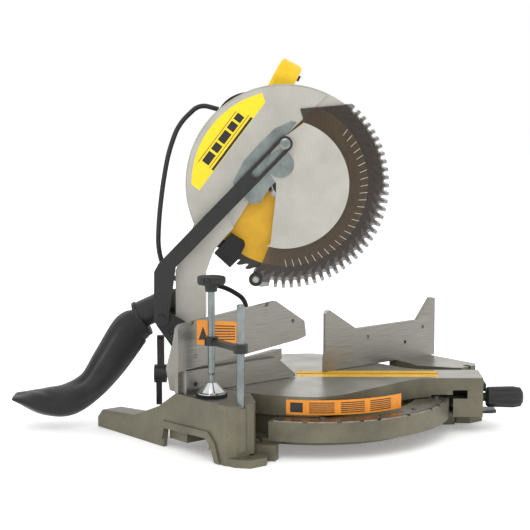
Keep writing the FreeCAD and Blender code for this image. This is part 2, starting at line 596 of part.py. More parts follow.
def make_bevel_clamp():
    """Tilt clamp: a bolt on the tilt axis and its long lever."""
    outline = [("0", "0"), ("11", "0"), ("11", "5"), ("7", "5"), ("7", "69"), ("0", "69")]
    turned("tilt_bolt", outline, Vector(0, size("tail_face") - 17.2, size("table_top")), ALONG_Y, TURN)
    body = begin("tilt_lever", TURN)
    hub_y = "chop_y + 43"
    pad(body, "XZ", hub_y, "20", [("0", "table_top", "15")])
    pad(body, "XZ", f"{hub_y} + 4", "11",
        [[("-9", "table_top"), ("-7", "table_top + 34"), ("-11", "table_top + 58"), ("0", "table_top + 64", "via"),
          ("11", "table_top + 58"), ("7", "table_top + 34"), ("9", "table_top")]])
    pad(body, "XZ", f"{hub_y} + 8", "9",
        [[("-8", "table_top"), ("-6", "table_top - 46"), ("0", "table_top - 52", "via"), ("6", "table_top - 46"),
          ("8", "table_top")]])
    cut(body, "XZ", f"{hub_y} - 1", "22", [("0", "table_top", "7.05")])
    return body


def around(radius, angle):
    """A point at a radius from the blade centre; the angle is up from the front."""
    turn = math.radians(angle)
    return (f"blade_y - ({radius}) * {math.cos(turn):.6f}", f"blade_z + ({radius}) * {math.sin(turn):.6f}")


def via(point):
    return point + ("via",)


# ------------------------------------------------------------------ head castings
def make_upper_guard():
    """Guard casting with its raised crescent, the hollow arm and the chop knuckle."""
    body = begin("upper_guard", TURN)
    arm = [("chop_y - 22", "chop_z + 28"), ("chop_y - 22", "chop_z + 98"), ("chop_y - 36", "chop_z + 138"),
           ("chop_y - 68", "chop_z + 174"), ("chop_y - 52", "chop_z + 210"), ("chop_y - 5", "chop_z + 182"),
           ("chop_y + 26", "chop_z + 104"), ("chop_y + 26", "chop_z + 32"), ("chop_y + 18", "chop_z + 6"),
           ("chop_y - 18", "chop_z + 6")]
    pad(body, "YZ", "-guard_left", "guard_left + guard_right", [("blade_y", "blade_z", "guard_rad")])
    bite = [around("guard_rad + 5", 50), ("blade_y - 36", "blade_z + 120"), ("blade_y - 20", "blade_z + 100"),
            ("blade_y + 37", "blade_z + 54"), ("blade_y + 56", "blade_z - 27"), ("blade_y + 85", "blade_z - 72"),
            ("blade_y + 114", "blade_z - 107"), ("blade_y + 122", "blade_z - 170"), ("blade_y - 170", "blade_z - 170"),
            ("blade_y - 170", "blade_z + 60")]
    cut(body, "YZ", "-guard_left - 1", "guard_wall + 1.01", [bite])
    under = [around("guard_rad + 6", -4), around("40", -30), ("blade_y + 40", "blade_z - 44"),
             ("blade_y + 118", "blade_z - 84"), around("guard_rad + 6", 208), ("blade_y + 60", "blade_z - 190"),
             ("blade_y - 120", "blade_z - 180")]
    cut(body, "YZ", "-guard_left + guard_wall", "guard_left + guard_right - guard_wall + 1", [under])
    pad(body, "YZ", "-20", "40", [arm])
    pad(body, "YZ", "-guard_left - 2.5", "2.6",
        [[around("guard_rad - 2.5", 64.6), via(around("guard_rad - 2.5", 134.4)), around("guard_rad - 2.5", 204.3)]])
    cut(body, "YZ", "-guard_left - 3", "3", [bracket_outline()])
    duct = [("chop_y - 17", "chop_z + 44"), ("chop_y - 17", "chop_z + 98"), ("chop_y - 40", "chop_z + 150"),
            ("chop_y - 10", "chop_z + 172"), ("chop_y + 21", "chop_z + 103"), ("chop_y + 21", "chop_z + 44")]
    cut(body, "YZ", "-16", "32", [duct])
    cut(body, "YZ", "-guard_left + guard_wall", "guard_left + guard_right - 2 * guard_wall",
        [("blade_y", "blade_z", "guard_rad - 2.6")])
    pad(body, "YZ", "-cheek_in + 0.4", "2 * cheek_in - 0.8", [("chop_y", "chop_z", "knuckle_rad - 1")])
    cut(body, "YZ", "-cheek_in", "2 * cheek_in", [("chop_y", "chop_z", "chop_rad + 0.05")])
    cut(body, "YZ", "guard_right - guard_wall - 1", "guard_wall + 2", [("blade_y", "blade_z", "19")])
    cut(body, "YZ", "-guard_left - 1", "6", [("blade_y + 76", "blade_z + 3", "3.02")])
    pad(body, "YZ", "guard_right - 1", "case_in - guard_right + 0.7",
        [("blade_y", "blade_z", "44"), ("blade_y", "blade_z", "bearing_rad + 0.02")])
    port = make_sketch(body, "XZ", "-(chop_y + 30)", [("0", "chop_z + 50", "spout_rad - 5.5")])
    pocket = body.newObject("PartDesign::Pocket", "DustPort")
    pocket.Profile = port
    pocket.Reversed = True
    pocket.Length = 12
    doc.recompute()
    return body


def make_belt_case():
    """Drive case beside the guard and its cover; the belt runs inside."""
    def capsule(small, big):
        dy = size("motor_y") - size("blade_y")
        dz = size("motor_z") - size("blade_z")
        reach = math.hypot(dy, dz)
        ny, nz = dz / reach, -dy / reach
        uy, uz = dy / reach, dz / reach
        return [(f"blade_y + ({big}) * {ny:.6f}", f"blade_z + ({big}) * {nz:.6f}"),
                (f"blade_y - ({big}) * {uy:.6f}", f"blade_z - ({big}) * {uz:.6f}", "via"),
                (f"blade_y - ({big}) * {ny:.6f}", f"blade_z - ({big}) * {nz:.6f}"),
                (f"motor_y - ({small}) * {ny:.6f}", f"motor_z - ({small}) * {nz:.6f}"),
                (f"motor_y + ({small}) * {uy:.6f}", f"motor_z + ({small}) * {uz:.6f}", "via"),
                (f"motor_y + ({small}) * {ny:.6f}", f"motor_z + ({small}) * {nz:.6f}")]
    case = begin("belt_case", TURN)
    pad(case, "YZ", "case_in", "case_wide - 3", [capsule("30", "50")])
    cut(case, "YZ", "case_in + 3", "case_wide", [capsule("26", "46")])
    cut(case, "YZ", "case_in - 1", "6", [("blade_y", "blade_z", "bearing_rad + 0.02")])
    cover = begin("belt_cover", TURN)
    pad(cover, "YZ", "case_in + case_wide - 3", "3", [capsule("30", "50")])
    cut(cover, "YZ", "case_in + case_wide - 4", "5",
        [("motor_y", "motor_z", "8"), ("blade_y", "blade_z", "bearing_rad + 0.02"),
         ("blade_y - 37.5", "blade_z + 6", "5.05")])
    pad(cover, "YZ", "case_in + case_wide - 3", "12",
        [("blade_y", "blade_z", "bearing_rad + 4"), ("blade_y", "blade_z", "bearing_rad + 0.02")])
    return case, cover


def make_motor():
    """Motor: housing, end cap, stator, armature, fan, bearings and brush caps."""
    start = size("case_in") + size("case_wide")
    centre = Vector(start, size("motor_y"), size("motor_z"))

    def at(x):
        return Vector(start + x, centre.y, centre.z)
    housing = turned("motor_housing", [("14.02", "0"), ("motor_rad", "0"), ("motor_rad", "motor_long"),
                                       ("motor_rad - 4", "motor_long"), ("motor_rad - 4", "8"), ("20", "8"),
                                       ("20", "11"), ("14.02", "11")], at(0), ALONG_X, TURN)
    vent = cut(housing, "XZ", "-motor_rad - 1", "9", [box_outline("-3", "16", "3", "44")])
    ring_of(housing, [vent], "12", 360, "XY")
    cap = turned("motor_end_cap", [("0", "24"), ("motor_rad - 8", "24"), ("motor_rad - 1", "17"),
                                   ("motor_rad - 1", "0.2"), ("motor_rad - 5", "0.2"), ("motor_rad - 5", "15"),
                                   ("18", "20"), ("18", "9"), ("14.02", "9"), ("14.02", "20"), ("0", "20")],
                 at(size("motor_long")), ALONG_X, TURN)
    slot = cut(cap, "XZ", "-motor_rad + 3", "12", [box_outline("-2.5", "3", "2.5", "14")])
    ring_of(cap, [slot], "16", 360, "XY")
    turned("stator", [("30", "40"), ("motor_rad - 4", "40"), ("motor_rad - 4", "96"), ("30", "96")],
           at(0), ALONG_X, TURN)
    shaft = [("0", "-28"), ("6", "-28"), ("6", "-26"), ("pulley_small + 2", "-26"), ("pulley_small + 2", "-24.5"),
             ("pulley_small", "-24"), ("pulley_small", "-12"), ("pulley_small + 2", "-11.5"),
             ("pulley_small + 2", "-10"), ("6", "-10"), ("6", "18"), ("12", "18"), ("12", "30"), ("44", "30"),
             ("44", "32"), ("6", "32"), ("6", "40"), ("29", "40"), ("29", "96"), ("6", "96"), ("6", "104"),
             ("16", "104"), ("16", "122"), ("6", "122"), ("6", "motor_long + 18"), ("0", "motor_long + 18")]
    armature = turned("armature", shaft, at(0), ALONG_X, TURN)
    blade = pad(armature, "XY", "19", "12", [box_outline("11", "-1", "43", "1")])
    ring_of(armature, [blade], "11", 360, "XY")
    caps = []
    for way in (-1, 1):
        base = at(size("motor_long") - 22)
        wall = size("motor_rad")
        cap_solid = Part.makeCylinder(8, 6, Vector(base.x, base.y + way * wall, base.z), Vector(0, way, 0))
        groove = Part.makeBox(12, 2, 1.6, Vector(base.x - 6, base.y + way * (wall + 5.2) - 1, base.z - 0.8))
        caps.append(cap_solid.cut(groove))
    solid_part("brush_caps", Part.makeCompound(caps), TURN)


# ------------------------------------------------------------------ blade and spindle
def make_blade():
    """Blade with raked teeth, gullets and carbide tips, on its bore."""
    tip = size("blade_rad")
    root = tip - 9
    count = int(size("teeth"))
    step = 2 * math.pi / count
    points = []
    for tooth in range(count):
        start = tooth * step
        for radius, share in ((root, 0.0), (tip - 0.4, -0.18), (tip, 0.05), (tip - 2.6, 0.34), (root + 1.6, 0.72)):
            turn = start + share * step
            points.append(Vector(0, -radius * math.cos(turn), radius * math.sin(turn)))
    points.append(points[0])
    thick = size("blade_thick")
    disc = Part.Face(Part.makePolygon(points)).extrude(Vector(thick, 0, 0))
    disc = disc.cut(Part.makeCylinder(size("bore_rad"), 3 * thick, Vector(-thick, 0, 0), Vector(1, 0, 0)))
    disc.translate(Vector(-thick / 2, size("blade_y"), size("blade_z")))
    return solid_part("saw_blade", disc, TURN)


def flange_shape(where, way):
    """One clamping flange, flat against the blade and tapered outside."""
    disc = size("flange_disc")
    bore = size("spindle_rad")
    points = [(bore, 0), (disc, 0), (disc, 2), (disc - 6, 5), (bore, 5), (bore, 0)]
    wire = Part.makePolygon([where + Vector(way * depth, 0, radius) for radius, depth in points])
    return Part.Face(wire).revolve(where, Vector(1, 0, 0), 360)


def make_spindle():
    """Spindle, blade flanges, blade screw and pulley."""
    def at(x):
        return Vector(x, size("blade_y"), size("blade_z"))
    half = size("blade_thick") / 2
    end = size("case_in") + size("case_wide") + 6
    turned("spindle", [("0", "0"), ("spindle_rad", "0"), ("spindle_rad", "blade_thick + 9"), ("12", "blade_thick + 9"),
                       ("12", f"{end + 4:.3f}"), ("0", f"{end + 4:.3f}")], at(-half - 3), ALONG_X, TURN)
    solid_part("blade_flanges", Part.makeCompound([flange_shape(at(half), 1), flange_shape(at(-half), -1)]), TURN)
    screw = begin("blade_screw", TURN.multiply(Placement(at(-half - 5), Rotation(Vector(0, 1, 0), -90))))
    spin(screw, [("0", "-1"), ("12", "-1"), ("12", "0"), ("20", "0"), ("20", "2"), ("9.5", "2.4"), ("9.5", "8"), ("0", "8")])
    cut(screw, "XY", "3.5", "6", [[(f"{5 * math.cos(math.radians(a)):.5f}", f"{5 * math.sin(math.radians(a)):.5f}")
                                   for a in range(0, 360, 60)]])
    turned("spindle_pulley", [("12", "0"), ("pulley_big + 2", "0"), ("pulley_big + 2", "1.5"), ("pulley_big", "2"),
                              ("pulley_big", "14"), ("pulley_big + 2", "14.5"), ("pulley_big + 2", "16"), ("12", "16")],
           at(size("case_in") + 5), ALONG_X, TURN)


def make_bearings():
    """Ball bearings of the spindle and the motor as plain rings, one node of four solids."""
    end = size("case_in") + size("case_wide")
    rings = []
    for x in (size("guard_right"), end - 2.6):
        rings.append(ring_shape(Vector(x, size("blade_y"), size("blade_z")), 12.15, size("bearing_rad"), 9))
    for x in (end + 1, end + size("motor_long") + 9):
        rings.append(ring_shape(Vector(x, size("motor_y"), size("motor_z")), 6.15, 14, 8))
    return solid_part("bearings", Part.makeCompound(rings), TURN)


def ring_shape(where, bore, radius, width):
    """A plain ring along X, for a bearing."""
    outer = Part.makeCylinder(radius, width, where, Vector(1, 0, 0))
    return outer.cut(Part.makeCylinder(bore, width, where, Vector(1, 0, 0)))


def make_belt():
    """Drive belt, a flat loop round both pulleys."""
    dy = size("motor_y") - size("blade_y")
    dz = size("motor_z") - size("blade_z")
    reach = math.hypot(dy, dz)
    lean = math.atan2(dz, dy)
    lift = size("belt_thick")

    def loop(gap):
        small = size("pulley_small") + gap
        big = size("pulley_big") + gap
        tangent = math.acos((big - small) / reach)

        def spot(cy, cz, radius, angle):
            return Vector(0, cy + radius * math.cos(angle), cz + radius * math.sin(angle))
        by, bz = size("blade_y"), size("blade_z")
        my, mz = size("motor_y"), size("motor_z")
        a = spot(by, bz, big, lean + tangent)
        b = spot(by, bz, big, lean - tangent)
        c = spot(my, mz, small, lean - tangent)
        d = spot(my, mz, small, lean + tangent)
        edges = [Part.Arc(a, spot(by, bz, big, lean + math.pi), b).toShape(), Part.makeLine(b, c),
                 Part.Arc(c, spot(my, mz, small, lean), d).toShape(), Part.makeLine(d, a)]
        return Part.Face(Part.Wire(edges))
    belt = loop(lift + 0.1).cut(loop(0.1)).extrude(Vector(11, 0, 0))
    belt.translate(Vector(size("case_in") + 7.5, 0, 0))
    return solid_part("drive_belt", belt, TURN)


# ------------------------------------------------------------------ lower guard
def out(radius, angle):
    """A point about the blade axis, for parts drawn about that axis."""
    turn = math.radians(angle)
    return (f"-({radius}) * {math.cos(turn):.6f}", f"({radius}) * {math.sin(turn):.6f}")


def blade_frame():
    return TURN.multiply(Placement(Vector(0, size("blade_y"), size("blade_z")), Rotation()))


def make_lower_guard():
    """Smoky see-through guard: two curved walls joined by a comb of slats."""
    body = begin("lower_guard", blade_frame())
    sector = [out("shield_rad", 50), out("123", 78.6), out("hub_rad - 2", 72), via(out("hub_rad - 12", -16)),
              out("hub_rad - 2", -104), out("132", -106), out("150", -109.5), out("shield_rad + 1", -109),
              out("shield_rad + 3", -103), out("shield_rad", -100), via(out("shield_rad", -25))]
    pad(body, "YZ", "-shield_left", "shield_left + shield_right", [sector])
    cut(body, "YZ", "-shield_left + shield_wall", "shield_left + shield_right - 2 * shield_wall",
        [("0", "0", "guard_rad + 1.6")])
    cut(body, "YZ", "shield_right - shield_wall - 1", "shield_wall + 2", [("0", "0", "130")])
    notch = make_sketch(body, "YZ", "shield_right + 1",
                        [[("-shield_rad - 4", "-4.4"), ("-shield_rad - 4", "4.4"), ("-shield_rad + 9", "3.2"),
                          ("-shield_rad + 12", "0", "via"), ("-shield_rad + 9", "-3.2")]])
    lift = number("shield_right + 1")
    notch.AttachmentOffset = Placement(Vector(0, 0, lift), Rotation(Vector(0, 0, 1), -46.5))
    gap = body.newObject("PartDesign::Pocket", "Notch")
    gap.Profile = notch
    gap.setExpression("Length", bound("shield_left + shield_right + 2"))
    doc.recompute()
    ring_of(body, [gap], "33", 144, "YZ")
    cut(body, "YZ", "-shield_left - 1", "shield_wall + 2", [(out("guard_rad", -107)[0], out("guard_rad", -107)[1], "3.02")])
    return body


def make_hub_plate():
    """Dished metal plate that carries the lower guard on its pivot screw."""
    body = begin("guard_hub_plate", TURN)
    outline = [around("hub_rad", -107), via(around("hub_rad", -17)), around("hub_rad", 73),
               ("blade_y - 5", "blade_z + 80"), ("blade_y + 12", "blade_z + 70"), ("blade_y + 23", "blade_z + 48"),
               ("blade_y + 26", "blade_z + 30"), ("blade_y + 23", "blade_z + 16"), ("blade_y + 14", "blade_z + 2"),
               ("blade_y + 14", "blade_z - 15"), ("blade_y + 23", "blade_z - 96")]
    pad(body, "YZ", "-shield_left - 3.4", "3", [outline])
    edge = [("blade_y + 14", "blade_z + 2"), ("blade_y + 14", "blade_z - 15"), ("blade_y + 23", "blade_z - 96"),
            ("blade_y + 19", "blade_z - 96"), ("blade_y + 10.5", "blade_z - 15"), ("blade_y + 10.5", "blade_z + 2")]
    pad(body, "YZ", "-shield_left - 3.4", "9", [edge])
    cut(body, "YZ", "-shield_left - 5", "8", [("pivot_y", "pivot_z", "5.05")])
    return body


def bracket_outline():
    """The bracket's edge, which the upper guard's raised crescent is cut back to."""
    return [("blade_y + 84", "blade_z + 2"), ("blade_y + 66", "blade_z + 37"), ("blade_y + 40", "blade_z + 66"),
            ("blade_y + 16", "blade_z + 89"), ("blade_y - 11", "blade_z + 101"), ("blade_y - 19", "blade_z + 99"),
            ("blade_y - 3", "blade_z + 78"), ("blade_y - 8", "blade_z + 30"), ("blade_y + 4", "blade_z + 14"),
            ("blade_y + 24", "blade_z - 5"), ("blade_y + 40", "blade_z - 30"), ("blade_y + 54", "blade_z - 32"),
            ("blade_y + 63", "blade_z - 22"), ("blade_y + 70", "blade_z - 4")]


def make_guard_bracket():
    """Zinc-plated bracket on the upper guard that the lower guard pivots on."""
    body = begin("guard_bracket", TURN)
    pad(body, "YZ", "-guard_left - 2.9", "2.9", [bracket_outline()])
    cut(body, "YZ", "-guard_left - 4", "5", [("blade_y + 76", "blade_z + 3", "3.02"), ("pivot_y", "pivot_z", "5.02")])
    return body


def make_guard_screws():
    """Bracket screw and the guard's pivot screw with its large washer."""
    left = Rotation(Vector(0, 1, 0), -90)
    face = -size("shield_left") - 3.7
    pivot = Vector(face, size("pivot_y"), size("pivot_z"))
    shank = Part.makeCylinder(5, 12, pivot, Vector(1, 0, 0))
    washer = Part.makeCylinder(21.5, 1.6, pivot, Vector(-1, 0, 0))
    head = Part.makeCylinder(7, 4.2, pivot, Vector(-1, 0, 0))
    socket = Part.makeCylinder(3, 3, pivot + Vector(-1.5, 0, 0), Vector(-1, 0, 0))
    fixing = Vector(-size("guard_left") - 2.9, size("blade_y") + 76, size("blade_z") + 3)
    small_shank = Part.makeCylinder(3, 6, fixing, Vector(1, 0, 0))
    small_head = Part.makeCylinder(6.5, 2.6, fixing, Vector(-1, 0, 0))
    pair = [shank.fuse(washer).fuse(head).cut(socket).removeSplitter(), small_shank.fuse(small_head).removeSplitter()]
    solid_part("guard_screws", Part.makeCompound(pair), TURN)
    screw = begin("link_bolt", TURN.multiply(
        Placement(Vector(-size("shield_left") - 3.4, size("pivot_y") - 7.5, size("pivot_z") + 33.2), left)))
    near = "link_out - shield_left - 3.4"
    far = f"{near} + link_thick"
    spin(screw, [("0", "2.3"), ("8", "2.3"), ("8", near), ("6", near), ("6", far), ("8.6", far),
                 ("8.6", f"{far} + 3.3"), ("5.5", f"{far} + 4.3"), ("0", f"{far} + 4.3")])
    cut(screw, "XY", f"{far} + 1.5", "4", [[(f"{2.6 * math.cos(math.radians(a)):.5f}", f"{2.6 * math.sin(math.radians(a)):.5f}")
                                  for a in range(0, 360, 60)]])


def make_guard_roller():
    """Roller and its pin at the lower end of the guard."""
    left = Rotation(Vector(0, 1, 0), -90)
    turn = math.radians(-107)
    y = size("blade_y") - size("guard_rad") * math.cos(turn)
    z = size("blade_z") + size("guard_rad") * math.sin(turn)
    face = -size("shield_left")
    turned("roller_pin", [("0", "-2.4"), ("3", "-2.4"), ("3", "9.2"), ("6.4", "9.2"), ("5", "11.4"), ("0", "11.8")],
           Vector(face, y, z), left, TURN)
    turned("guard_roller", [("3.05", "0.4"), ("9", "0.4"), ("11", "2"), ("11", "7"), ("9", "8.8"), ("3.05", "8.8")],
           Vector(face, y, z), left, TURN)


def make_link_bar():
    """Bent slotted bar that swings the lower guard open as the head comes down."""
    body = begin("guard_link", TURN)
    bolt_y, bolt_z = size("pivot_y") - 7.5, size("pivot_z") + 33.2
    elbow_y, elbow_z = size("link_y") - 6, size("link_z") + 82
    reach = math.hypot(elbow_y - bolt_y, elbow_z - bolt_z)
    uy, uz = (elbow_y - bolt_y) / reach, (elbow_z - bolt_z) / reach

    def beside(along_bar, across):
        return (f"pivot_y - 7.5 + ({along_bar}) * {uy:.6f} - ({across}) * {uz:.6f}",
                f"pivot_z + 33.2 + ({along_bar}) * {uz:.6f} + ({across}) * {uy:.6f}")
    outline = [("link_y + link_half", "link_z"), ("link_y + link_half - 1", "link_z + 76"),
               beside(f"{reach + 2:.3f}", "link_half"), beside("0", "link_half"), via(beside("-link_half", "0")),
               beside("0", "-link_half"), beside(f"{reach - 13:.3f}", "-link_half"),
               ("link_y - link_half", "link_z"), ("link_y", "link_z - link_half", "via")]
    low = "-link_out - link_thick"
    pad(body, "YZ", low, "link_thick", [outline])
    slot = [beside("0", "6.6"), via(beside("-6.6", "0")), beside("0", "-6.6"), beside("68", "-6.6"),
            via(beside("74.6", "0")), beside("68", "6.6")]
    cut(body, "YZ", f"{low} - 1", "link_thick + 2", [slot])
    cut(body, "YZ", f"{low} - 1", "link_thick + 2", [("link_y", "link_z", "4.05")])
    return body


# ------------------------------------------------------------------ handle and controls
HANDLE = TURN.multiply(Placement(Vector(0, 76, 522), Rotation(Vector(1, 0, 0), 28)))


def make_handle():
    """Transverse D handle in two halves, with its trigger and lock-off button."""
    outer = [("62", "0"), ("60", "52"), ("68", "74", "via"), ("92", "84"), ("140", "84"), ("163", "74", "via"),
             ("171", "52"), ("169", "0")]
    inner = [("86", "18"), ("84", "46"), ("88", "54", "via"), ("96", "57"), ("136", "57"), ("144", "54", "via"),
             ("148", "46"), ("146", "18")]
    motor = HANDLE.inverse().multVec(TURN.multVec(Vector(0, size("motor_y"), size("motor_z"))))
    for name, low, outside in (("handle_front", "-19", "-19"), ("handle_back", "0.05", "19")):
        body = begin(name, HANDLE)
        pad(body, "XZ", low, "18.95", [outer, inner])
        round_edges(body, "7", at_level("Y", float(outside) if low[0] == "-" else 19.0))
        cut(body, "XZ", "-9.5" if low[0] == "-" else "-1", "10.5",
            [[("99", "56"), ("99", "77.5"), ("137", "77.5"), ("137", "56")]])
        cut(body, "YZ", "50", "130", [(f"{motor.y:.4f}", f"{motor.z:.4f}", "motor_rad + 0.1")])
        if name == "handle_front":
            cut(body, "XZ", "-20", "11", [box_outline("107", "59.5", "129", "70.5")])
    trigger = begin("trigger", HANDLE)
    pad(trigger, "XZ", "-8.5", "17", [[("101", "69"), ("101", "50"), ("112", "45"), ("128", "46"), ("135", "51"), ("135", "69")]])
    button = begin("lock_off_button", HANDLE)
    pad(button, "XZ", "-23", "9", [box_outline("107.4", "60", "128.6", "70")])
    return trigger, button


def make_lock_buttons():
    """Spindle lock button on the belt cover and the head lock-down pin in the fork."""
    x = size("case_in") + size("case_wide") - 3
    turned("spindle_lock", [("0", "0"), ("5", "0"), ("5", "12"), ("4", "13"), ("0", "13")],
           Vector(x, size("blade_y") - 37.5, size("blade_z") + 6), ALONG_X, TURN)
    pin = [("0", "0"), ("4.95", "0"), ("4.95", "24.5"), ("9", "26"), ("10", "28"), ("10", "37"), ("8", "39"), ("0", "39")]
    turned("lock_down_pin", pin, Vector(size("cheek_in") + size("cheek_thick") - 15, size("chop_y") + 8,
                                        size("chop_z") - 42), ALONG_X, TURN)


def make_flap():
    """Rubber flap that steers the dust into the chute beside the blade."""
    body = begin("chute_flap", TURN)
    pad(body, "YZ", "-25.5", "22",
        [[("blade_y + 86", "blade_z - 80"), ("blade_y + 66", "blade_z - 92"), ("blade_y + 64", "blade_z - 99"),
          ("blade_y + 74", "blade_z - 120"), ("blade_y + 88", "blade_z - 134"), ("blade_y + 113", "blade_z - 111")]])
    return body


SPOUT_LEAN = 25


def make_dust_spout():
    """Round dust outlet on the back of the arm, an elbow that leans down."""
    where = Vector(0, size("chop_y") + 26.1, size("chop_z") + 50)
    back = Vector(0, 1, 0)
    lean = math.radians(SPOUT_LEAN)
    way = Vector(0, math.cos(lean), -math.sin(lean))
    knee = where + back * 14
    radius = size("spout_rad")

    def elbow(r, start, end):
        return Part.makeCylinder(r, 14 + start, where - back * start, back).fuse(Part.makeSphere(r, knee)).fuse(
            Part.makeCylinder(r, 56 + end, knee, way))
    pipe = elbow(radius, 0, 0).fuse(Part.makeCylinder(radius + 2, 5, knee + way * 50, way))
    pipe = pipe.cut(Part.makeBox(200, 40, 200, where + Vector(-100, -40, -100)))
    hollow = elbow(radius - 3, 1, 1)
    return solid_part("dust_spout", pipe.cut(hollow).removeSplitter(), TURN)


def make_dust_bag():
    """Cloth dust bag as a plain closed solid that hangs from the spout."""
    body = begin("dust_bag", TURN)
    outline = [("chop_y + 85", "chop_z + 44"), ("chop_y + 103", "chop_z + 40"), ("chop_y + 145", "chop_z - 18"),
               ("chop_y + 176", "chop_z - 62"), ("chop_y + 206", "chop_z - 83"), ("chop_y + 296", "chop_z - 100"),
               ("chop_y + 290", "chop_z - 112"), ("chop_y + 256", "chop_z - 132"), ("chop_y + 222", "chop_z - 145"),
               ("chop_y + 204", "chop_z - 140"), ("chop_y + 158", "chop_z - 112"), ("chop_y + 128", "chop_z - 76"),
               ("chop_y + 98", "chop_z - 30"), ("chop_y + 75", "chop_z - 6")]
    pad(body, "YZ", "-38", "76", [outline])
    return body


def pipe_along(points, radius, bend_share=0.45):
    """A round tube of straight runs and tangent arcs along points; returns its bend radii too."""
    edges = []
    radii = []
    last = points[0]
    for before, here, after in zip(points, points[1:], points[2:]):
        to = here - before
        away = after - here
        trim = bend_share * min(to.Length, away.Length)
        half_turn = to.getAngle(away) / 2
        first = here - Vector(to).normalize() * trim
        second = here + Vector(away).normalize() * trim
        bend = trim / math.tan(half_turn)
        centre_line = (Vector(away).normalize() - Vector(to).normalize()).normalize()
        middle = here + centre_line * (bend / math.cos(half_turn) - bend)
        edges.append(Part.LineSegment(last, first).toShape())
        edges.append(Part.Arc(first, middle, second).toShape())
        radii.append(bend)
        last = second
    edges.append(Part.LineSegment(last, points[-1]).toShape())
    wire = Part.Wire(edges)
    start = edges[0]
    profile = Part.Wire(Part.makeCircle(radius, points[0], start.tangentAt(start.FirstParameter)))
    tube = wire.makePipeShell([profile], True, False, 2)
    return tube, radii, wire.Length


LEAD_POINTS = [(62, 158.8, 519.4), (60, 190, 528), (50, 224, 496), (34, 240, 450), (16, 248, 400), (6, 254, 345),
               (4, 256, 296), (14, 246, 256), (40, 222, 236), (58, 186, 232), (64, 148, 224), (64, 116, 204),
               (60, 112, 176), (56, 130, 152), (50, 156, 140), (42, 184, 144), (36, 200, 158)]


def make_motor_lead():
    """Lead from the motor down the arm and round to the hollow chop pin, held all the way."""
    points = [Vector(*p) for p in LEAD_POINTS]
    tube, radii, length = pipe_along(points, size("lead_rad"))
    print("motor_lead radii", [round(r, 1) for r in radii], "length", round(length, 1))
    solid_part("motor_lead", tube, TURN)


COIL = Vector(135, 225, 0)
COIL_MEAN = 44
COIL_WIDE = 12
COIL_HIGH = 33
CORD_OUT = [(205, 57, 21), (205, 84, 20), (204, 112, 10), (200, 140, 4), (194, 168, 4), (189, 196, 4), (187, 222, 4)]
CORD_END = [(128, 271, 29), (104, 274, 27), (80, 272, 18), (50.6, 270, 14)]


def make_mains():
    """Mains cord on the bench behind the saw: gland, short run, put-away coil and plug."""
    radius = size("lead_rad")
    gland = Part.makeCone(9, 5.5, 12, Vector(205, 45, 21), Vector(0, 1, 0))
    solid_part("cord_gland", gland)
    runs = []
    for name, route in (("out", CORD_OUT), ("end", CORD_END)):
        tube, radii, length = pipe_along([Vector(*p) for p in route], radius)
        print("mains_cord", name, "radii", [round(r, 1) for r in radii], "length", round(length, 1))
        runs.append(tube)
    solid_part("mains_cord", Part.makeCompound(runs))
    coil = Part.makeCylinder(COIL_MEAN + COIL_WIDE, COIL_HIGH, COIL)
    coil = coil.cut(Part.makeCylinder(COIL_MEAN - COIL_WIDE, COIL_HIGH, COIL))
    solid_part("cord_coil", coil)
    grip = Part.makeBox(36, 26, 22, Vector(14, 257, 3))
    grip = grip.makeFillet(5, grip.Edges)
    pins = [Part.makeBox(18, 1.6, 6.4, Vector(-3, 270 + way * 6.4 - 0.8, 10.8)) for way in (-1, 1)]
    solid_part("mains_plug", grip.fuse(pins).removeSplitter())


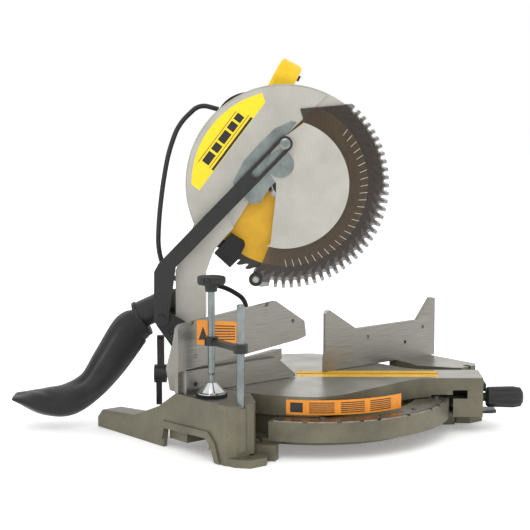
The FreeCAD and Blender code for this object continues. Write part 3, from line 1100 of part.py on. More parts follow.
# ------------------------------------------------------------------ work clamp
def make_work_clamp():
    """Vertical clamp: pole, arm, screw, star knob, foot and rubber pad."""
    top = size("table_top")
    pole = begin("clamp_pole", Placement(Vector(-size("pole_x"), -size("pole_y"), top - 40), Rotation()))
    spin(pole, [("0", "0"), ("pole_rad", "0"), ("pole_rad", "188"), ("pole_rad - 1", "190"), ("0", "190")])
    screw_at = Vector(-size("screw_x"), -size("screw_y"), 0)
    turned("clamp_screw", [("0", "16"), ("4", "16"), ("4", "32"), ("5.5", "36"), ("5.5", "168"), ("0", "168")],
           screw_at + Vector(0, 0, top), Rotation())
    turned("clamp_foot", [("4.05", "9.5"), ("4.05", "22"), ("8", "21"), ("14", "14"), ("20", "7"), ("23", "5.4"),
                                 ("23", "4.3"), ("0", "4.3"), ("0", "9.5")], screw_at + Vector(0, 0, top), Rotation())
    turned("clamp_pad", [("0", "0.3"), ("23.5", "0.3"), ("24", "1"), ("24", "4.2"), ("0", "4.2")],
           screw_at + Vector(0, 0, top), Rotation())
    knob = begin("clamp_knob", Placement(screw_at + Vector(0, 0, top + 160.5), Rotation()))
    spin(knob, [("5.5", "0"), ("9", "0"), ("10", "9"), ("20", "11"), ("22", "14"), ("22", "21"), ("20", "23"), ("0", "24"),
                ("0", "7.6"), ("5.5", "7.6")])
    scoop = cut(knob, "XY", "9.5", "15", [("24.5", "0", "7")])
    ring_of(knob, [scoop], "5", 360, "XY")
    arm = begin("clamp_arm")
    reach_x = size("screw_x") - size("pole_x")
    reach_y = size("pole_y") - size("screw_y")
    length = math.hypot(reach_x, reach_y)
    nx, ny = reach_y / length * 6, reach_x / length * 6
    low = top + 78
    web = [(f"-pole_x - {nx:.4f}", f"-pole_y - {ny:.4f}"), (f"-screw_x - {nx:.4f}", f"-screw_y - {ny:.4f}"),
           (f"-screw_x + {nx:.4f}", f"-screw_y + {ny:.4f}"), (f"-pole_x + {nx:.4f}", f"-pole_y + {ny:.4f}")]
    pad(arm, "XY", f"{low + 2}", "8", [web])
    pad(arm, "XY", f"{low}", "13", [("-pole_x", "-pole_y", "pole_rad + 5")])
    pad(arm, "XY", f"{low}", "13", [("-screw_x", "-screw_y", "10.5")])
    cut(arm, "XY", f"{low - 1}", "15", [("-pole_x", "-pole_y", "pole_rad + 0.05")])
    cut(arm, "XY", f"{low - 1}", "15", [("-screw_x", "-screw_y", "5.55")])


# ------------------------------------------------------------------ build and write
GROUPS = ("scale_screws", "brush_caps", "kerf_plates", "blade_flanges", "bearings",
          "guard_screws", "mains_cord")
for make in (make_base_casting, make_miter_scale, make_scale_screws, make_left_base_fence, make_left_upper_fence,
             make_right_fence, make_turntable, make_kerf_plates, make_pivot_bolt, make_lock_parts,
             make_override, make_bevel_arm, make_link_anchor, make_chop_pin, make_bevel_clamp,
             make_upper_guard, make_belt_case, make_motor, make_blade, make_spindle, make_bearings, make_belt, make_lower_guard,
             make_hub_plate, make_guard_bracket, make_guard_screws, make_guard_roller, make_link_bar,
             make_handle, make_lock_buttons, make_flap, make_dust_spout, make_dust_bag, make_motor_lead,
             make_mains, make_work_clamp):
    make()

doc.recompute()
for body, placement in parts:
    body.Placement = placement
doc.recompute()
os.makedirs("parts", exist_ok=True)
for body, _ in parts:
    for item in getattr(body, "Group", []) + [body]:
        if "Invalid" in item.State or "Error" in item.State:
            raise RuntimeError(f"{body.Label}: {item.Name} is {item.State}")
    shape = body.Shape
    if shape.isNull() or not shape.isValid() or not shape.Solids:
        raise RuntimeError(f"{body.Label}: no valid solid")
    if len(shape.Solids) > 1 and body.Label not in GROUPS:
        raise RuntimeError(f"{body.Label}: {len(shape.Solids)} loose solids")
    shape.exportStep(f"parts/{body.Label}.step")
print(len(parts), "parts")
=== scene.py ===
import json
import math
import random

import bmesh
import bpy
from mathutils import Matrix, Vector


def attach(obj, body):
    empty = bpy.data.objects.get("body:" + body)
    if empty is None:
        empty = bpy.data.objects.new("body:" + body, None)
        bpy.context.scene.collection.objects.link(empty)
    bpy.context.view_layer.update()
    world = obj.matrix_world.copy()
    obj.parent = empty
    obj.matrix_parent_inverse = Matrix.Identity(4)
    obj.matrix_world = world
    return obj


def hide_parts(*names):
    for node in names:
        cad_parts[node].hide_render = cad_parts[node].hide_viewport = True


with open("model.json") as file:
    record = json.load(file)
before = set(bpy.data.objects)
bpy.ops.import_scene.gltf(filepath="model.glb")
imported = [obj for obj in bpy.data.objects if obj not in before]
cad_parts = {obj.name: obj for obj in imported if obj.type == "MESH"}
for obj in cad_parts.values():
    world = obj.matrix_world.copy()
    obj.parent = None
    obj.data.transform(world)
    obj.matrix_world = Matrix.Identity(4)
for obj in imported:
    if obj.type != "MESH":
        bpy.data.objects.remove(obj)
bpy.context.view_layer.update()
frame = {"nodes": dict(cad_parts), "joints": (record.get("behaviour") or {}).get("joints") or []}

nodes = frame["nodes"]
joints = {joint["name"]: joint for joint in frame["joints"]}

# ---------------------------------------------------------------- camera and table directions
# The saw stands turned to its right-hand miter stop, so the head's own directions are read
# from the chop pivot: across runs to the head's right, back to its rear.  Sizes are in mm.
across = Vector(joints["chop"]["axis"]).normalized()
back = Vector((0, 0, 1)).cross(across)
turned = Matrix((across, back, Vector((0, 0, 1)))).transposed()


def at(x, y, z):
    """A place in the saw's own straight-ahead directions, in mm, as a point of the scene."""
    return turned @ Vector((x, y, z)) / 1000


def spot(x, y, z):
    """A place in the base's directions, in mm, as a point of the scene."""
    return Vector((x, y, z)) / 1000


eye = bpy.data.cameras.new("eye")
eye.lens = 103.9
eye.sensor_width = 36
eye.clip_end = 20
camera = bpy.data.objects.new("eye", eye)
camera.location = spot(-1628.8, -1852.6, 573.8)
camera.rotation_euler = (math.radians(82.96), 0, math.radians(-39.42))
bpy.context.scene.collection.objects.link(camera)
bpy.context.scene.camera = camera


# ---------------------------------------------------------------- mains cord
# Round black rubber cable, 8 mm thick, from the gland at the back of the base.  What isn't
# in use is wound into a neat coil on the bench, and the moulded plug lies beside it.
CABLE = 8
COIL_AT = (135, 225)
COIL_MIDDLE = 44   # radius of the middle lane of turns
LANE_BULGE = 3.2   # how far a turn swings out as it climbs to the next layer


def linear(code):
    """An sRGB hex value as linear red, green, blue and alpha."""
    parts = [int(code[i:i + 2], 16) / 255 for i in (1, 3, 5)]
    return [p / 12.92 if p <= 0.04045 else ((p + 0.055) / 1.055) ** 2.4 for p in parts] + [1.0]


def add(tree, kind, settings=None, feeds=None):
    """A shader node with its settings, and its inputs as values or as another node's output."""
    made = tree.nodes.new("ShaderNode" + kind)
    for name, value in (settings or {}).items():
        setattr(made, name, value)
    for name, value in (feeds or {}).items():
        if isinstance(value, bpy.types.NodeSocket):
            tree.links.new(value, made.inputs[name])
        else:
            made.inputs[name].default_value = value
    return made


def finish_of(name):
    """A new material with its node tree and a place to measure the surface from."""
    material = bpy.data.materials.new(name)
    material.use_nodes = True
    tree = material.node_tree
    tree.nodes.clear()
    place = add(tree, "TexCoord").outputs["Object"]
    return material, tree, place


def surface(tree, feeds, height=None, lift=0.0):
    """The shader of a finish; height is a pattern and lift its depth in mm."""
    if height is not None:
        bump = add(tree, "Bump", feeds={"Strength": 1.0, "Distance": lift / 1000, "Height": height})
        feeds = {**feeds, "Normal": bump.outputs[0]}
    shader = add(tree, "BsdfPrincipled", feeds=feeds)
    add(tree, "OutputMaterial", feeds={"Surface": shader.outputs[0]})
    return shader


def blotch(tree, place, grain, detail=3, rough=0.6):
    """Noise whose features are grain mm wide."""
    return add(tree, "TexNoise", feeds={"Vector": place, "Scale": 1000 / grain, "Detail": detail,
                                        "Roughness": rough}).outputs[0]


def ramp(tree, amount, *stops):
    """Colours or greys along a pattern, as (position, hex)."""
    made = add(tree, "ValToRGB", feeds={"Fac": amount})
    band = made.color_ramp
    while len(band.elements) < len(stops):
        band.elements.new(0.5)
    for element, (position, code) in zip(band.elements, stops):
        element.position = position
        element.color = linear(code)
    return made.outputs[0]


def dress(material, *names):
    """Gives CAD nodes their material."""
    for name in names:
        slots = nodes[name].material_slots
        if not slots:
            nodes[name].data.materials.append(material)
        for one in slots:
            one.material = material


def cord_rubber():
    """Moulded rubber: near black, dull, with a faint bloom that lightens it in patches."""
    material, tree, place = finish_of("moulded rubber")
    bloom = blotch(tree, place, 14)
    colour = ramp(tree, bloom, (0.35, "#141414"), (0.75, "#232322"))
    rough = add(tree, "MapRange", feeds={"Value": bloom, 3: 0.5, 4: 0.68}).outputs[0]
    surface(tree, {"Base Color": colour, "Roughness": rough}, blotch(tree, place, 0.9), 0.05)
    return material


CORD_RUBBER = cord_rubber()
route = [(205, 57, 21), (205, 84, 20), (204, 112, 10), (200, 140, 4), (194, 168, 4), (189, 196, 4)]
LANE = CABLE + 0.4
INNER, MIDDLE, OUTER = COIL_MIDDLE - LANE, COIL_MIDDLE, COIL_MIDDLE + LANE
LEVELS = [CABLE / 2 + LANE * n for n in range(4)]
# each turn of the coil goes from one lane to the next: (radius, level) at its start and end
lanes = [(OUTER, 0), (MIDDLE, 0), (INNER, 0),
         (INNER, 1), (MIDDLE, 1), (OUTER, 1),
         (OUTER, 2), (MIDDLE, 2), (INNER, 2),
         (INNER, 3), (MIDDLE, 3), (OUTER, 3)]
STEPS = 16
START = math.radians(-3)
TURNS = 10.285
for step in range(int(TURNS * STEPS) + 1):
    turn, part = divmod(step / STEPS, 1)
    (r0, level0), (r1, level1) = lanes[int(turn)], lanes[int(turn) + 1]
    climb = level1 - level0
    bulge = LANE_BULGE * math.sin(math.pi * part) * climb * (1 if r0 > COIL_MIDDLE else -1)
    radius = r0 + (r1 - r0) * part + bulge
    height = LEVELS[level0] + (LEVELS[level1] - LEVELS[level0]) * part
    angle = START + step / STEPS * math.tau
    route.append((COIL_AT[0] + radius * math.cos(angle),
                  COIL_AT[1] + radius * math.sin(angle), height))
route += [(128, 271, 29), (104, 274, 27), (80, 272, 18), (50.6, 270, 14)]


def cable(name, points, width):
    """A round cable on a smooth spline through a route in mm."""
    curve = bpy.data.curves.new(name, "CURVE")
    curve.dimensions = "3D"
    spline = curve.splines.new("NURBS")
    spline.points.add(len(points) - 1)
    for point, place in zip(spline.points, points):
        point.co = (*(Vector(place) / 1000), 1)
    spline.order_u = 3
    spline.use_endpoint_u = True
    curve.bevel_depth = width / 2000
    curve.bevel_resolution = 6
    curve.use_fill_caps = True
    curve.resolution_u = 6
    piece = bpy.data.objects.new(name, curve)
    bpy.context.scene.collection.objects.link(piece)
    return piece


mains = cable("mains_cable", route, CABLE)
mains.data.materials.append(CORD_RUBBER)
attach(mains, "base")
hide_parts("mains_cord", "cord_coil")
dress(CORD_RUBBER, "mains_plug", "cord_gland", "motor_lead")


# ---------------------------------------------------------------- base, table and tilting arm
# Pressure-cast magnesium and aluminium, shot-blasted and sprayed with a warm silver-grey
# enamel.  The table's top and the wings' tops are faced on a mill and left bright.
def cast_enamel(name, dark, light, metal, facing=None):
    """Sprayed metallic enamel: fine bright flake, soft sheen, slightly uneven casting below."""
    material, tree, place = finish_of(name)
    flake = blotch(tree, place, 0.8, 2)
    cloud = blotch(tree, place, 60, 4)
    mix = add(tree, "Math", {"operation": "ADD"}, {0: flake, 1: cloud}).outputs[0]
    halved = add(tree, "Math", {"operation": "MULTIPLY"}, {0: mix, 1: 0.5}).outputs[0]
    colour = ramp(tree, halved, (0.36, dark), (0.64, light))
    rough = add(tree, "MapRange", feeds={"Value": cloud, 3: 0.38, 4: 0.52}).outputs[0]
    peel = blotch(tree, place, 1.6, 2)
    if facing is None:
        surface(tree, {"Base Color": colour, "Roughness": rough, "Metallic": metal}, peel, 0.05)
        return material
    # milled face: fine arcs 0.9 mm apart, only where the surface looks up at the table's height
    parts = add(tree, "SeparateXYZ", feeds={"Vector": place}).outputs
    flat = add(tree, "VectorMath", {"operation": "MULTIPLY"}, {0: place, 1: (1, 1, 0)}).outputs[0]
    reach = add(tree, "VectorMath", {"operation": "LENGTH"}, {0: flat}).outputs["Value"]
    phase = add(tree, "Math", {"operation": "MULTIPLY"}, {0: reach, 1: math.tau * 1000 / 1.8}).outputs[0]
    swirl = add(tree, "Math", {"operation": "SINE"}, {0: phase}).outputs[0]
    normal = add(tree, "NewGeometry").outputs["Normal"]
    up = add(tree, "SeparateXYZ", feeds={"Vector": normal}).outputs["Z"]
    top = facing / 1000 - 0.0003
    above = add(tree, "Math", {"operation": "GREATER_THAN"}, {0: parts["Z"], 1: top}).outputs[0]
    level = add(tree, "Math", {"operation": "GREATER_THAN"}, {0: up, 1: 0.9}).outputs[0]
    faced = add(tree, "Math", {"operation": "MULTIPLY"}, {0: above, 1: level}).outputs[0]
    streak = add(tree, "MapRange", feeds={"Value": swirl, 1: -1.0, 2: 1.0, 3: 0.45, 4: 0.6}).outputs[0]
    worn = add(tree, "Math", {"operation": "MULTIPLY"}, {0: streak, 1: cloud}).outputs[0]
    bright = ramp(tree, worn, (0.15, "#8a8880"), (0.4, "#b7b5ad"))
    both = add(tree, "Mix", {"data_type": "RGBA"}, {0: faced, 6: colour, 7: bright}).outputs[2]
    shine = add(tree, "Mix", feeds={0: faced, 2: rough, 3: 0.3}).outputs[0]
    metallic = add(tree, "Mix", feeds={0: faced, 2: metal, 3: 0.95}).outputs[0]
    surface(tree, {"Base Color": both, "Roughness": shine, "Metallic": metallic}, peel, 0.05)
    return material


BASE_ENAMEL = cast_enamel("grey cast enamel", "#565245", "#78735f", 0.35, facing=90)
GUARD_ENAMEL = cast_enamel("silver cast enamel", "#a4a299", "#bdbbb2", 0.3)
dress(BASE_ENAMEL, "base_casting", "turntable")
dress(GUARD_ENAMEL, "bevel_arm", "upper_guard", "guard_hub_plate")


# ---------------------------------------------------------------- fences
# Extruded and cast aluminium, milled on the faces that the work lies against, so that they
# carry long fine lines and a soft shine.
def milled_aluminium():
    """Bare aluminium with mill lines 0.9 mm apart along the fence."""
    material, tree, place = finish_of("milled aluminium")
    drawn = add(tree, "Mapping", feeds={"Vector": place, "Scale": (0.02, 1, 1)}).outputs[0]
    lines = blotch(tree, drawn, 0.9, 2)
    colour = ramp(tree, lines, (0.3, "#7b7972"), (0.7, "#98968f"))
    rough = add(tree, "MapRange", feeds={"Value": lines, 3: 0.26, 4: 0.46}).outputs[0]
    surface(tree, {"Base Color": colour, "Roughness": rough, "Metallic": 0.85}, lines, 0.02)
    return material


ALUMINIUM = milled_aluminium()
dress(ALUMINIUM, "left_base_fence", "left_upper_fence", "right_fence", "belt_case", "spindle_pulley")


# ---------------------------------------------------------------- bright and plated steel
# Turned pins, the scale plate and screws are bare or zinc-plated steel; the clamp's foot is
# chromed.
def steel(name, dark, light, rough_low, rough_high, grain):
    """Bare or plated steel: a tight grain and small changes of tone."""
    material, tree, place = finish_of(name)
    cloud = blotch(tree, place, grain, 4)
    colour = ramp(tree, cloud, (0.35, dark), (0.65, light))
    rough = add(tree, "MapRange", feeds={"Value": cloud, 3: rough_low, 4: rough_high}).outputs[0]
    surface(tree, {"Base Color": colour, "Roughness": rough, "Metallic": 1.0},
            blotch(tree, place, 0.5), 0.006)
    return material


TURNED_STEEL = steel("turned steel", "#8e8d8a", "#b9b8b4", 0.25, 0.4, 8)
ZINC = steel("zinc plate", "#747b7a", "#8b9391", 0.24, 0.34, 26)
CHROME = steel("chrome plate", "#c4c6c8", "#dcdddf", 0.05, 0.12, 20)
SCALE_STEEL = steel("brushed scale steel", "#77736a", "#98948a", 0.3, 0.45, 6)
dress(TURNED_STEEL, "miter_pivot_bolt", "chop_pin", "tilt_bolt", "stator", "armature", "blade_flanges",
      "spindle", "bearings", "roller_pin")
dress(ZINC, "guard_bracket", "guard_screws", "link_bolt", "clamp_pole", "clamp_screw", "scale_screws")
dress(CHROME, "clamp_foot")
dress(SCALE_STEEL, "miter_scale")


# ---------------------------------------------------------------- black parts
# Glass-filled nylon with a spark-eroded grain for knobs, levers, motor and covers; link,
# lever and screws are steel with a satin black coat; the flap and pad are rubber.
def moulded_nylon(name, dark, light, rough, grain, depth):
    """Moulded plastic: the mould's fine leather-like grain, with a low satin sheen."""
    material, tree, place = finish_of(name)
    cloud = blotch(tree, place, 25)
    colour = ramp(tree, cloud, (0.3, dark), (0.7, light))
    cells = add(tree, "TexVoronoi", feeds={"Vector": place, "Scale": 1000 / grain}).outputs["Distance"]
    surface(tree, {"Base Color": colour, "Roughness": rough, "Specular IOR Level": 0.45}, cells, depth)
    return material


NYLON = moulded_nylon("black nylon", "#161615", "#242423", 0.5, 0.9, 0.06)
BLACK_COAT = moulded_nylon("satin black coat", "#131312", "#1e1e1d", 0.34, 1.4, 0.02)
RUBBER = moulded_nylon("black rubber", "#101010", "#1b1b1a", 0.72, 1.1, 0.05)
YELLOW = moulded_nylon("yellow nylon", "#e9bd06", "#f6cc12", 0.38, 0.8, 0.03)
INSERT = moulded_nylon("yellow insert plastic", "#d9a421", "#e6b52f", 0.45, 0.8, 0.03)
dress(NYLON, "lock_knob", "override_latch", "link_anchor", "tilt_lever", "belt_cover", "motor_housing",
      "motor_end_cap", "brush_caps", "guard_roller", "trigger", "lock_off_button", "spindle_lock",
      "lock_down_pin", "dust_spout", "clamp_knob")
dress(BLACK_COAT, "detent_lever", "guard_link", "blade_screw", "clamp_arm")
dress(RUBBER, "chute_flap", "clamp_pad", "drive_belt")
dress(YELLOW, "handle_front", "handle_back")
dress(INSERT, "kerf_plates")


# ---------------------------------------------------------------- saw blade
# Sheet-steel disc, ground and sprayed yellow inside, with bare ground teeth and carbide
# tips.  The enamel ends 134 mm from the middle.
HUB = Vector(joints["blade_spin"]["pos_m"])


def blade_finish():
    """Ground steel rim with fine rings, and a yellow enamel field inside it."""
    material, tree, place = finish_of("ground and enamelled blade steel")
    arm = add(tree, "VectorMath", {"operation": "SUBTRACT"}, {0: place, 1: HUB}).outputs[0]
    reach = add(tree, "VectorMath", {"operation": "LENGTH"}, {0: arm}).outputs["Value"]
    phase = add(tree, "Math", {"operation": "MULTIPLY"}, {0: reach, 1: math.tau * 1000 / 1.6}).outputs[0]
    rings = add(tree, "Math", {"operation": "SINE"}, {0: phase}).outputs[0]
    rim = add(tree, "Math", {"operation": "GREATER_THAN"}, {0: reach, 1: 0.134}).outputs[0]
    cloud = blotch(tree, place, 30)
    bare = ramp(tree, cloud, (0.3, "#3c3a37"), (0.7, "#55524e"))
    enamel = ramp(tree, cloud, (0.3, "#d9a312"), (0.7, "#ebb71e"))
    colour = add(tree, "Mix", {"data_type": "RGBA"}, {0: rim, 6: enamel, 7: bare}).outputs[2]
    metal = add(tree, "Mix", feeds={0: rim, 2: 0.1, 3: 1.0}).outputs[0]
    surface(tree, {"Base Color": colour, "Roughness": 0.36, "Metallic": metal}, rings, 0.01)
    return material


dress(blade_finish(), "saw_blade")


# ---------------------------------------------------------------- lower guard
# Injection-moulded polycarbonate, tinted smoky brown and polished, so that the blade shows
# through it.
def smoky_polycarbonate():
    """Tinted see-through plastic with a gloss skin and faint flow marks."""
    material, tree, place = finish_of("smoky polycarbonate")
    flow = blotch(tree, place, 40)
    colour = ramp(tree, flow, (0.3, "#2a1e14"), (0.7, "#33261a"))
    surface(tree, {"Base Color": colour, "Roughness": 0.12, "IOR": 1.58, "Alpha": 0.58, "Coat Weight": 0.2},
            blotch(tree, place, 6), 0.05)
    return material


dress(smoky_polycarbonate(), "lower_guard")


# ---------------------------------------------------------------- dust bag
# Sewn black nylon cloth on a wire ring round the spout.  It hangs empty, so its sides fall
# together and it creases along its length.
def woven_nylon():
    """Plain weave: threads 0.9 mm apart, drawn coarser than the real 0.4 mm so that they show."""
    material, tree, place = finish_of("woven nylon")
    threads = 1000 / 0.9 / 20 * 3.14
    warp = add(tree, "TexWave", {"bands_direction": "X"}, {"Vector": place, "Scale": threads}).outputs[1]
    weft = add(tree, "TexWave", {"bands_direction": "Z"}, {"Vector": place, "Scale": threads}).outputs[1]
    weave = add(tree, "Math", {"operation": "MAXIMUM"}, {0: warp, 1: weft}).outputs[0]
    fade = blotch(tree, place, 35)
    colour = ramp(tree, fade, (0.3, "#121212"), (0.7, "#232323"))
    surface(tree, {"Base Color": colour, "Roughness": 0.8, "Sheen Weight": 0.35, "Sheen Roughness": 0.4},
            weave, 0.15)
    return material


CLOTH = woven_nylon()
CREASE = 3.4   # depth of one crease
# stations down the bag: distance behind the miter axis, height, half its depth and half its width
bag_line = [(278, 178, 25, 25), (288, 172, 27, 27), (303, 160, 33, 31), (336, 110, 30, 36),
            (367, 71, 25, 36), (405, 47, 27, 36), (440, 43, 23, 35), (468, 47, 15, 34),
            (488, 51, 7, 31), (494, 52, 3, 26)]


def between(values, share):
    """A smooth curve through evenly spaced values (Catmull-Rom)."""
    place = share * (len(values) - 1)
    i = min(int(place), len(values) - 2)
    t = place - i
    a, b, c, d = (Vector(values[max(0, min(j, len(values) - 1))]) for j in (i - 1, i, i + 1, i + 2))
    return 0.5 * (2 * b + (c - a) * t + (2 * a - 5 * b + 4 * c - d) * t ** 2
                  + (3 * b - a - 3 * c + d) * t ** 3)


def make_bag():
    """The bag as one lofted shell with creases pressed into it."""
    rings, around = 90, 72
    seed = random.Random(7)
    folds = [(seed.uniform(0.1, 0.95), seed.uniform(0, math.tau), seed.uniform(0.06, 0.14),
              seed.uniform(0.35, 0.8), seed.uniform(-7, 7)) for _ in range(26)]
    mesh = bmesh.new()
    loops = []
    for ring in range(rings):
        share = ring / (rings - 1)
        y, z, deep, wide = between(bag_line, share)
        ahead = between(bag_line, min(1, share + 0.01)) - between(bag_line, max(0, share - 0.01))
        lean = math.atan2(ahead[1], ahead[0])
        slack = min(1, share * 5)
        loop = []
        for corner in range(around):
            turn = corner / around * math.tau
            push = 0
            for where, side, long, narrow, twist in folds:
                off = math.remainder(turn - side - twist * (share - where), math.tau)
                along_fold = math.exp(-(((share - where) / long) ** 2))
                push -= CREASE * along_fold * math.exp(-((off / narrow * 1.6) ** 2))
            push = push * slack + 0.8 * slack * math.sin(5 * turn + 22 * share)
            cross = math.copysign(abs(math.cos(turn)) ** 0.85, math.cos(turn))
            rise = math.sin(turn)
            pinch = 1 - 0.25 * slack * abs(rise) ** 3
            x = (wide + push) * cross * pinch
            up = (deep + push * 0.5) * rise
            loop.append(mesh.verts.new(at(x, y - up * math.sin(lean), z + up * math.cos(lean))))
        loops.append(loop)
    for first, second in zip(loops, loops[1:]):
        for i in range(around):
            j = (i + 1) % around
            mesh.faces.new((first[i], first[j], second[j], second[i]))
    mesh.faces.new(loops[-1])
    mesh.faces.new(list(reversed(loops[0])))
    bmesh.ops.recalc_face_normals(mesh, faces=mesh.faces)
    data = bpy.data.meshes.new("dust_bag_cloth")
    mesh.to_mesh(data)
    data.shade_smooth()
    piece = bpy.data.objects.new("dust_bag_cloth", data)
    bpy.context.scene.collection.objects.link(piece)
    return piece


bag = make_bag()
bag.data.materials.append(CLOTH)
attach(bag, "head")
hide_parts("dust_bag")


# ---------------------------------------------------------------- labels and marks
# Printed vinyl labels and screen-printed scale marks, in plain generic patterns.
def vinyl(name, low, high):
    """Printed vinyl: smooth, slightly glossy, with a trace of ink grain."""
    material, tree, place = finish_of(name)
    ink = blotch(tree, place, 5)
    colour = ramp(tree, ink, (0.3, low), (0.7, high))
    surface(tree, {"Base Color": colour, "Roughness": 0.33}, blotch(tree, place, 1.2), 0.01)
    return material


LABEL_YELLOW = vinyl("yellow vinyl", "#f6cf0d", "#fdda1c")
LABEL_ORANGE = vinyl("orange vinyl", "#e88b10", "#f39a1c")
LABEL_BLACK = vinyl("black print", "#151515", "#1d1d1c")
# pale paint for the painted light streaks that fall through the guard's slots
PAINTED_LIGHT_PALE = vinyl("painted light streak", "#d9d6cc", "#e6e3da")


def plate(name, body, material, shapes):
    """Thin flat shapes as one piece; each shape is a list of scene points in order."""
    mesh = bmesh.new()
    for shape in shapes:
        mesh.faces.new([mesh.verts.new(p) for p in shape])
    data = bpy.data.meshes.new(name)
    mesh.to_mesh(data)
    data.materials.append(material)
    piece = bpy.data.objects.new(name, data)
    bpy.context.scene.collection.objects.link(piece)
    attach(piece, body)
    return piece


blade_y, blade_z = 50, 402
# the guard label's face and print, across the head, and the low end and run of its straight edge
LABEL_FACE, PRINT_FACE = -19.62, -19.72
EDGE_Y, EDGE_Z = 189.1, 389.5
RUN, RISE = 0.602, 0.798
# the table label's ends, in degrees round the table, and the see-through guard's left face, which carries
# the painted light streaks
LABEL_FROM, LABEL_TO = 215, 275
WALL_LABEL, WALL_PRINT = 185.3, 185.45
LIGHT_STREAK_FACE = -22.95


def rim_point(x, radius, angle):
    """A point about the blade's axis, with the angle up from the front."""
    turn = math.radians(angle)
    return at(x, blade_y - radius * math.cos(turn), blade_z + radius * math.sin(turn))


def label_point(x, along, out):
    """A point on the guard: along the label's straight edge from its low end, and out from it."""
    return at(x, EDGE_Y - RUN * along + RISE * out, EDGE_Z + RISE * along + RUN * out)


def label_box(start, end, low, high):
    """A rectangle of black print on the guard's label."""
    corners = ((start, low), (end, low), (end, high), (start, high))
    return [label_point(PRINT_FACE, *corner) for corner in corners]


segment = [rim_point(LABEL_FACE, 149.5, 104 + 76 * i / 40) for i in range(41)]
plate("guard_label", "head", LABEL_YELLOW,
      [segment + [label_point(LABEL_FACE, 3, 0), label_point(LABEL_FACE, 179, 0)]])
rules = [label_box(42, 147, 0.6, 4.6), label_box(42, 147, 8, 9), label_box(38, 140, 28, 29)]
blocks = [label_box(start, end, 12, 25)
          for start, end in ((44, 64), (68, 82), (86, 106), (110, 124), (128, 140))]
plate("guard_label_bars", "head", LABEL_BLACK, rules + blocks)

# fence label and table label: orange, with a plain triangle or block and rows of bars; the fence
# label's ends are given as place along the fence, lower edge and upper edge
fence_low, fence_high = (-241.4, 164.9, 203.6), (-161.0, 159.0, 192.3)


def fence_spot(share, rise, off):
    """A point on the upper fence's label: share of its length and of its height."""
    low = fence_low[1] + (fence_high[1] - fence_low[1]) * share
    high = fence_low[2] + (fence_high[2] - fence_low[2]) * share
    return spot(fence_low[0] + (fence_high[0] - fence_low[0]) * share, -off, low + (high - low) * rise)


plate("fence_label", "upper_fence", LABEL_ORANGE,
      [[fence_spot(u, v, 0.12) for u, v in ((0, 0), (1, 0), (1, 1), (0, 1))]])
bars = [[fence_spot(u, v, 0.2) for u, v in ((0.04, 0.2), (0.26, 0.2), (0.15, 0.75))]]
for row in range(6):
    low = 0.16 + row * 0.12
    corners = ((0.34, low), (0.93, low), (0.93, low + 0.05), (0.34, low + 0.05))
    bars.append([fence_spot(u, v, 0.2) for u, v in corners])
plate("fence_label_print", "upper_fence", LABEL_BLACK, bars)


def wall_patch(start, end, low, high, radius):
    """A strip on the table's round wall, between two angles in degrees and two heights in mm."""
    turns = [math.radians(start + (end - start) * i / 12) for i in range(13)]
    strip = []
    for a, b in zip(turns, turns[1:]):
        corners = ((a, low), (b, low), (b, high), (a, high))
        strip.append([spot(radius * math.cos(turn), radius * math.sin(turn), z) for turn, z in corners])
    return strip


plate("table_label", "table", LABEL_ORANGE,
      wall_patch(LABEL_FROM, LABEL_TO, 62, 85, WALL_LABEL))
bars = wall_patch(LABEL_FROM + 2, LABEL_FROM + 8, 66, 81, WALL_PRINT)
for column in range(3):
    start = LABEL_FROM + 11 + column * 15
    for row in range(6):
        bars += wall_patch(start, start + 12, 65 + row * 3, 66.4 + row * 3, WALL_PRINT)
plate("table_label_print", "table", LABEL_BLACK, bars)

# pale streaks on the see-through guard's left face: painted light, the bright lines of light that fall
# through the rim's slots onto the blade behind
light_streaks = []
for step in range(26):
    angle = 40 - step * 5.2
    light_streaks.append([rim_point(LIGHT_STREAK_FACE, radius, angle + wide) for radius, wide in
                  ((121, 0), (133, 1.2), (133, 1.45), (121, 0.25))])
plate("guard_painted_light_streaks", "lower_guard", PAINTED_LIGHT_PALE, light_streaks)

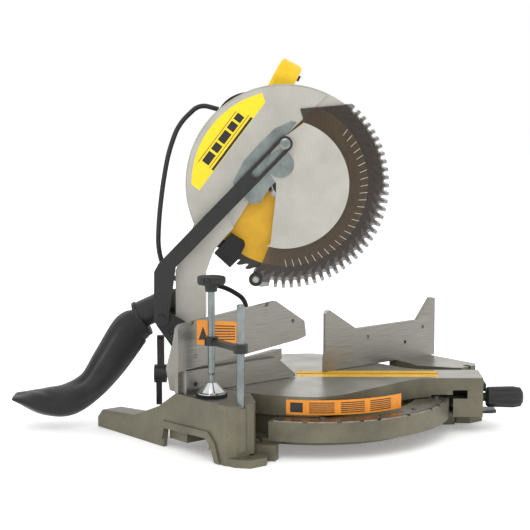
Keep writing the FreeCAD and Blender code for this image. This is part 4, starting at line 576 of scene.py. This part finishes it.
# miter scale marks, one a degree, printed on the plate; its edge and face are in metres
MARK_EDGE, MARK_FACE = 0.2155, 0.05912
marks = []
for degree in range(-50, 51):
    turn = math.radians(degree)
    long = 9 if degree % 5 == 0 else 5
    wide = 0.55 if degree % 5 == 0 else 0.4
    side = Vector((math.cos(turn), math.sin(turn), 0))
    out = Vector((math.sin(turn), -math.cos(turn), 0))
    root = out * MARK_EDGE + Vector((0, 0, MARK_FACE))
    half, reach = side * wide / 1000, out * long / 1000
    marks.append([root - half, root + half, root + half - reach, root - half - reach])
plate("miter_scale_marks", "base", LABEL_BLACK, marks)


# ---------------------------------------------------------------- bench, light and room
# A plain white floor and soft light from big panels.
def pale_floor():
    """Matt white paint on the bench."""
    material, tree, place = finish_of("pale floor")
    cloud = blotch(tree, place, 400)
    surface(tree, {"Base Color": ramp(tree, cloud, (0.3, "#fafafa"), (0.7, "#ffffff")), "Roughness": 0.85,
                   "Emission Color": (1, 1, 1, 1), "Emission Strength": 0.22}, blotch(tree, place, 3), 0.02)
    return material


bpy.ops.mesh.primitive_plane_add(size=14, location=(0, 0, -0.0004))
floor = bpy.context.object
floor.name = "bench"
floor.data.materials.append(pale_floor())

world = bpy.data.worlds.new("room")
bpy.context.scene.world = world
world.use_nodes = True
world.node_tree.nodes["Background"].inputs[0].default_value = linear("#ffffff")
world.node_tree.nodes["Background"].inputs[1].default_value = 1.0


def panel(name, place, target, wide, power):
    """A soft square light that points at a place."""
    lamp = bpy.data.lights.new(name, "AREA")
    lamp.size = wide
    lamp.energy = power
    piece = bpy.data.objects.new(name, lamp)
    piece.location = place
    piece.rotation_euler = (Vector(target) - Vector(place)).to_track_quat("-Z", "Y").to_euler()
    bpy.context.scene.collection.objects.link(piece)


panel("key", (-1.4, -1.2, 2.2), (0, 0, 0.3), 1.6, 16)
panel("fill", (1.8, -1.6, 1.3), (0, 0, 0.3), 1.8, 5)
panel("rim", (0.6, 2.0, 1.8), (0, 0, 0.4), 1.4, 8)
bpy.context.scene.view_settings.view_transform = "Standard"
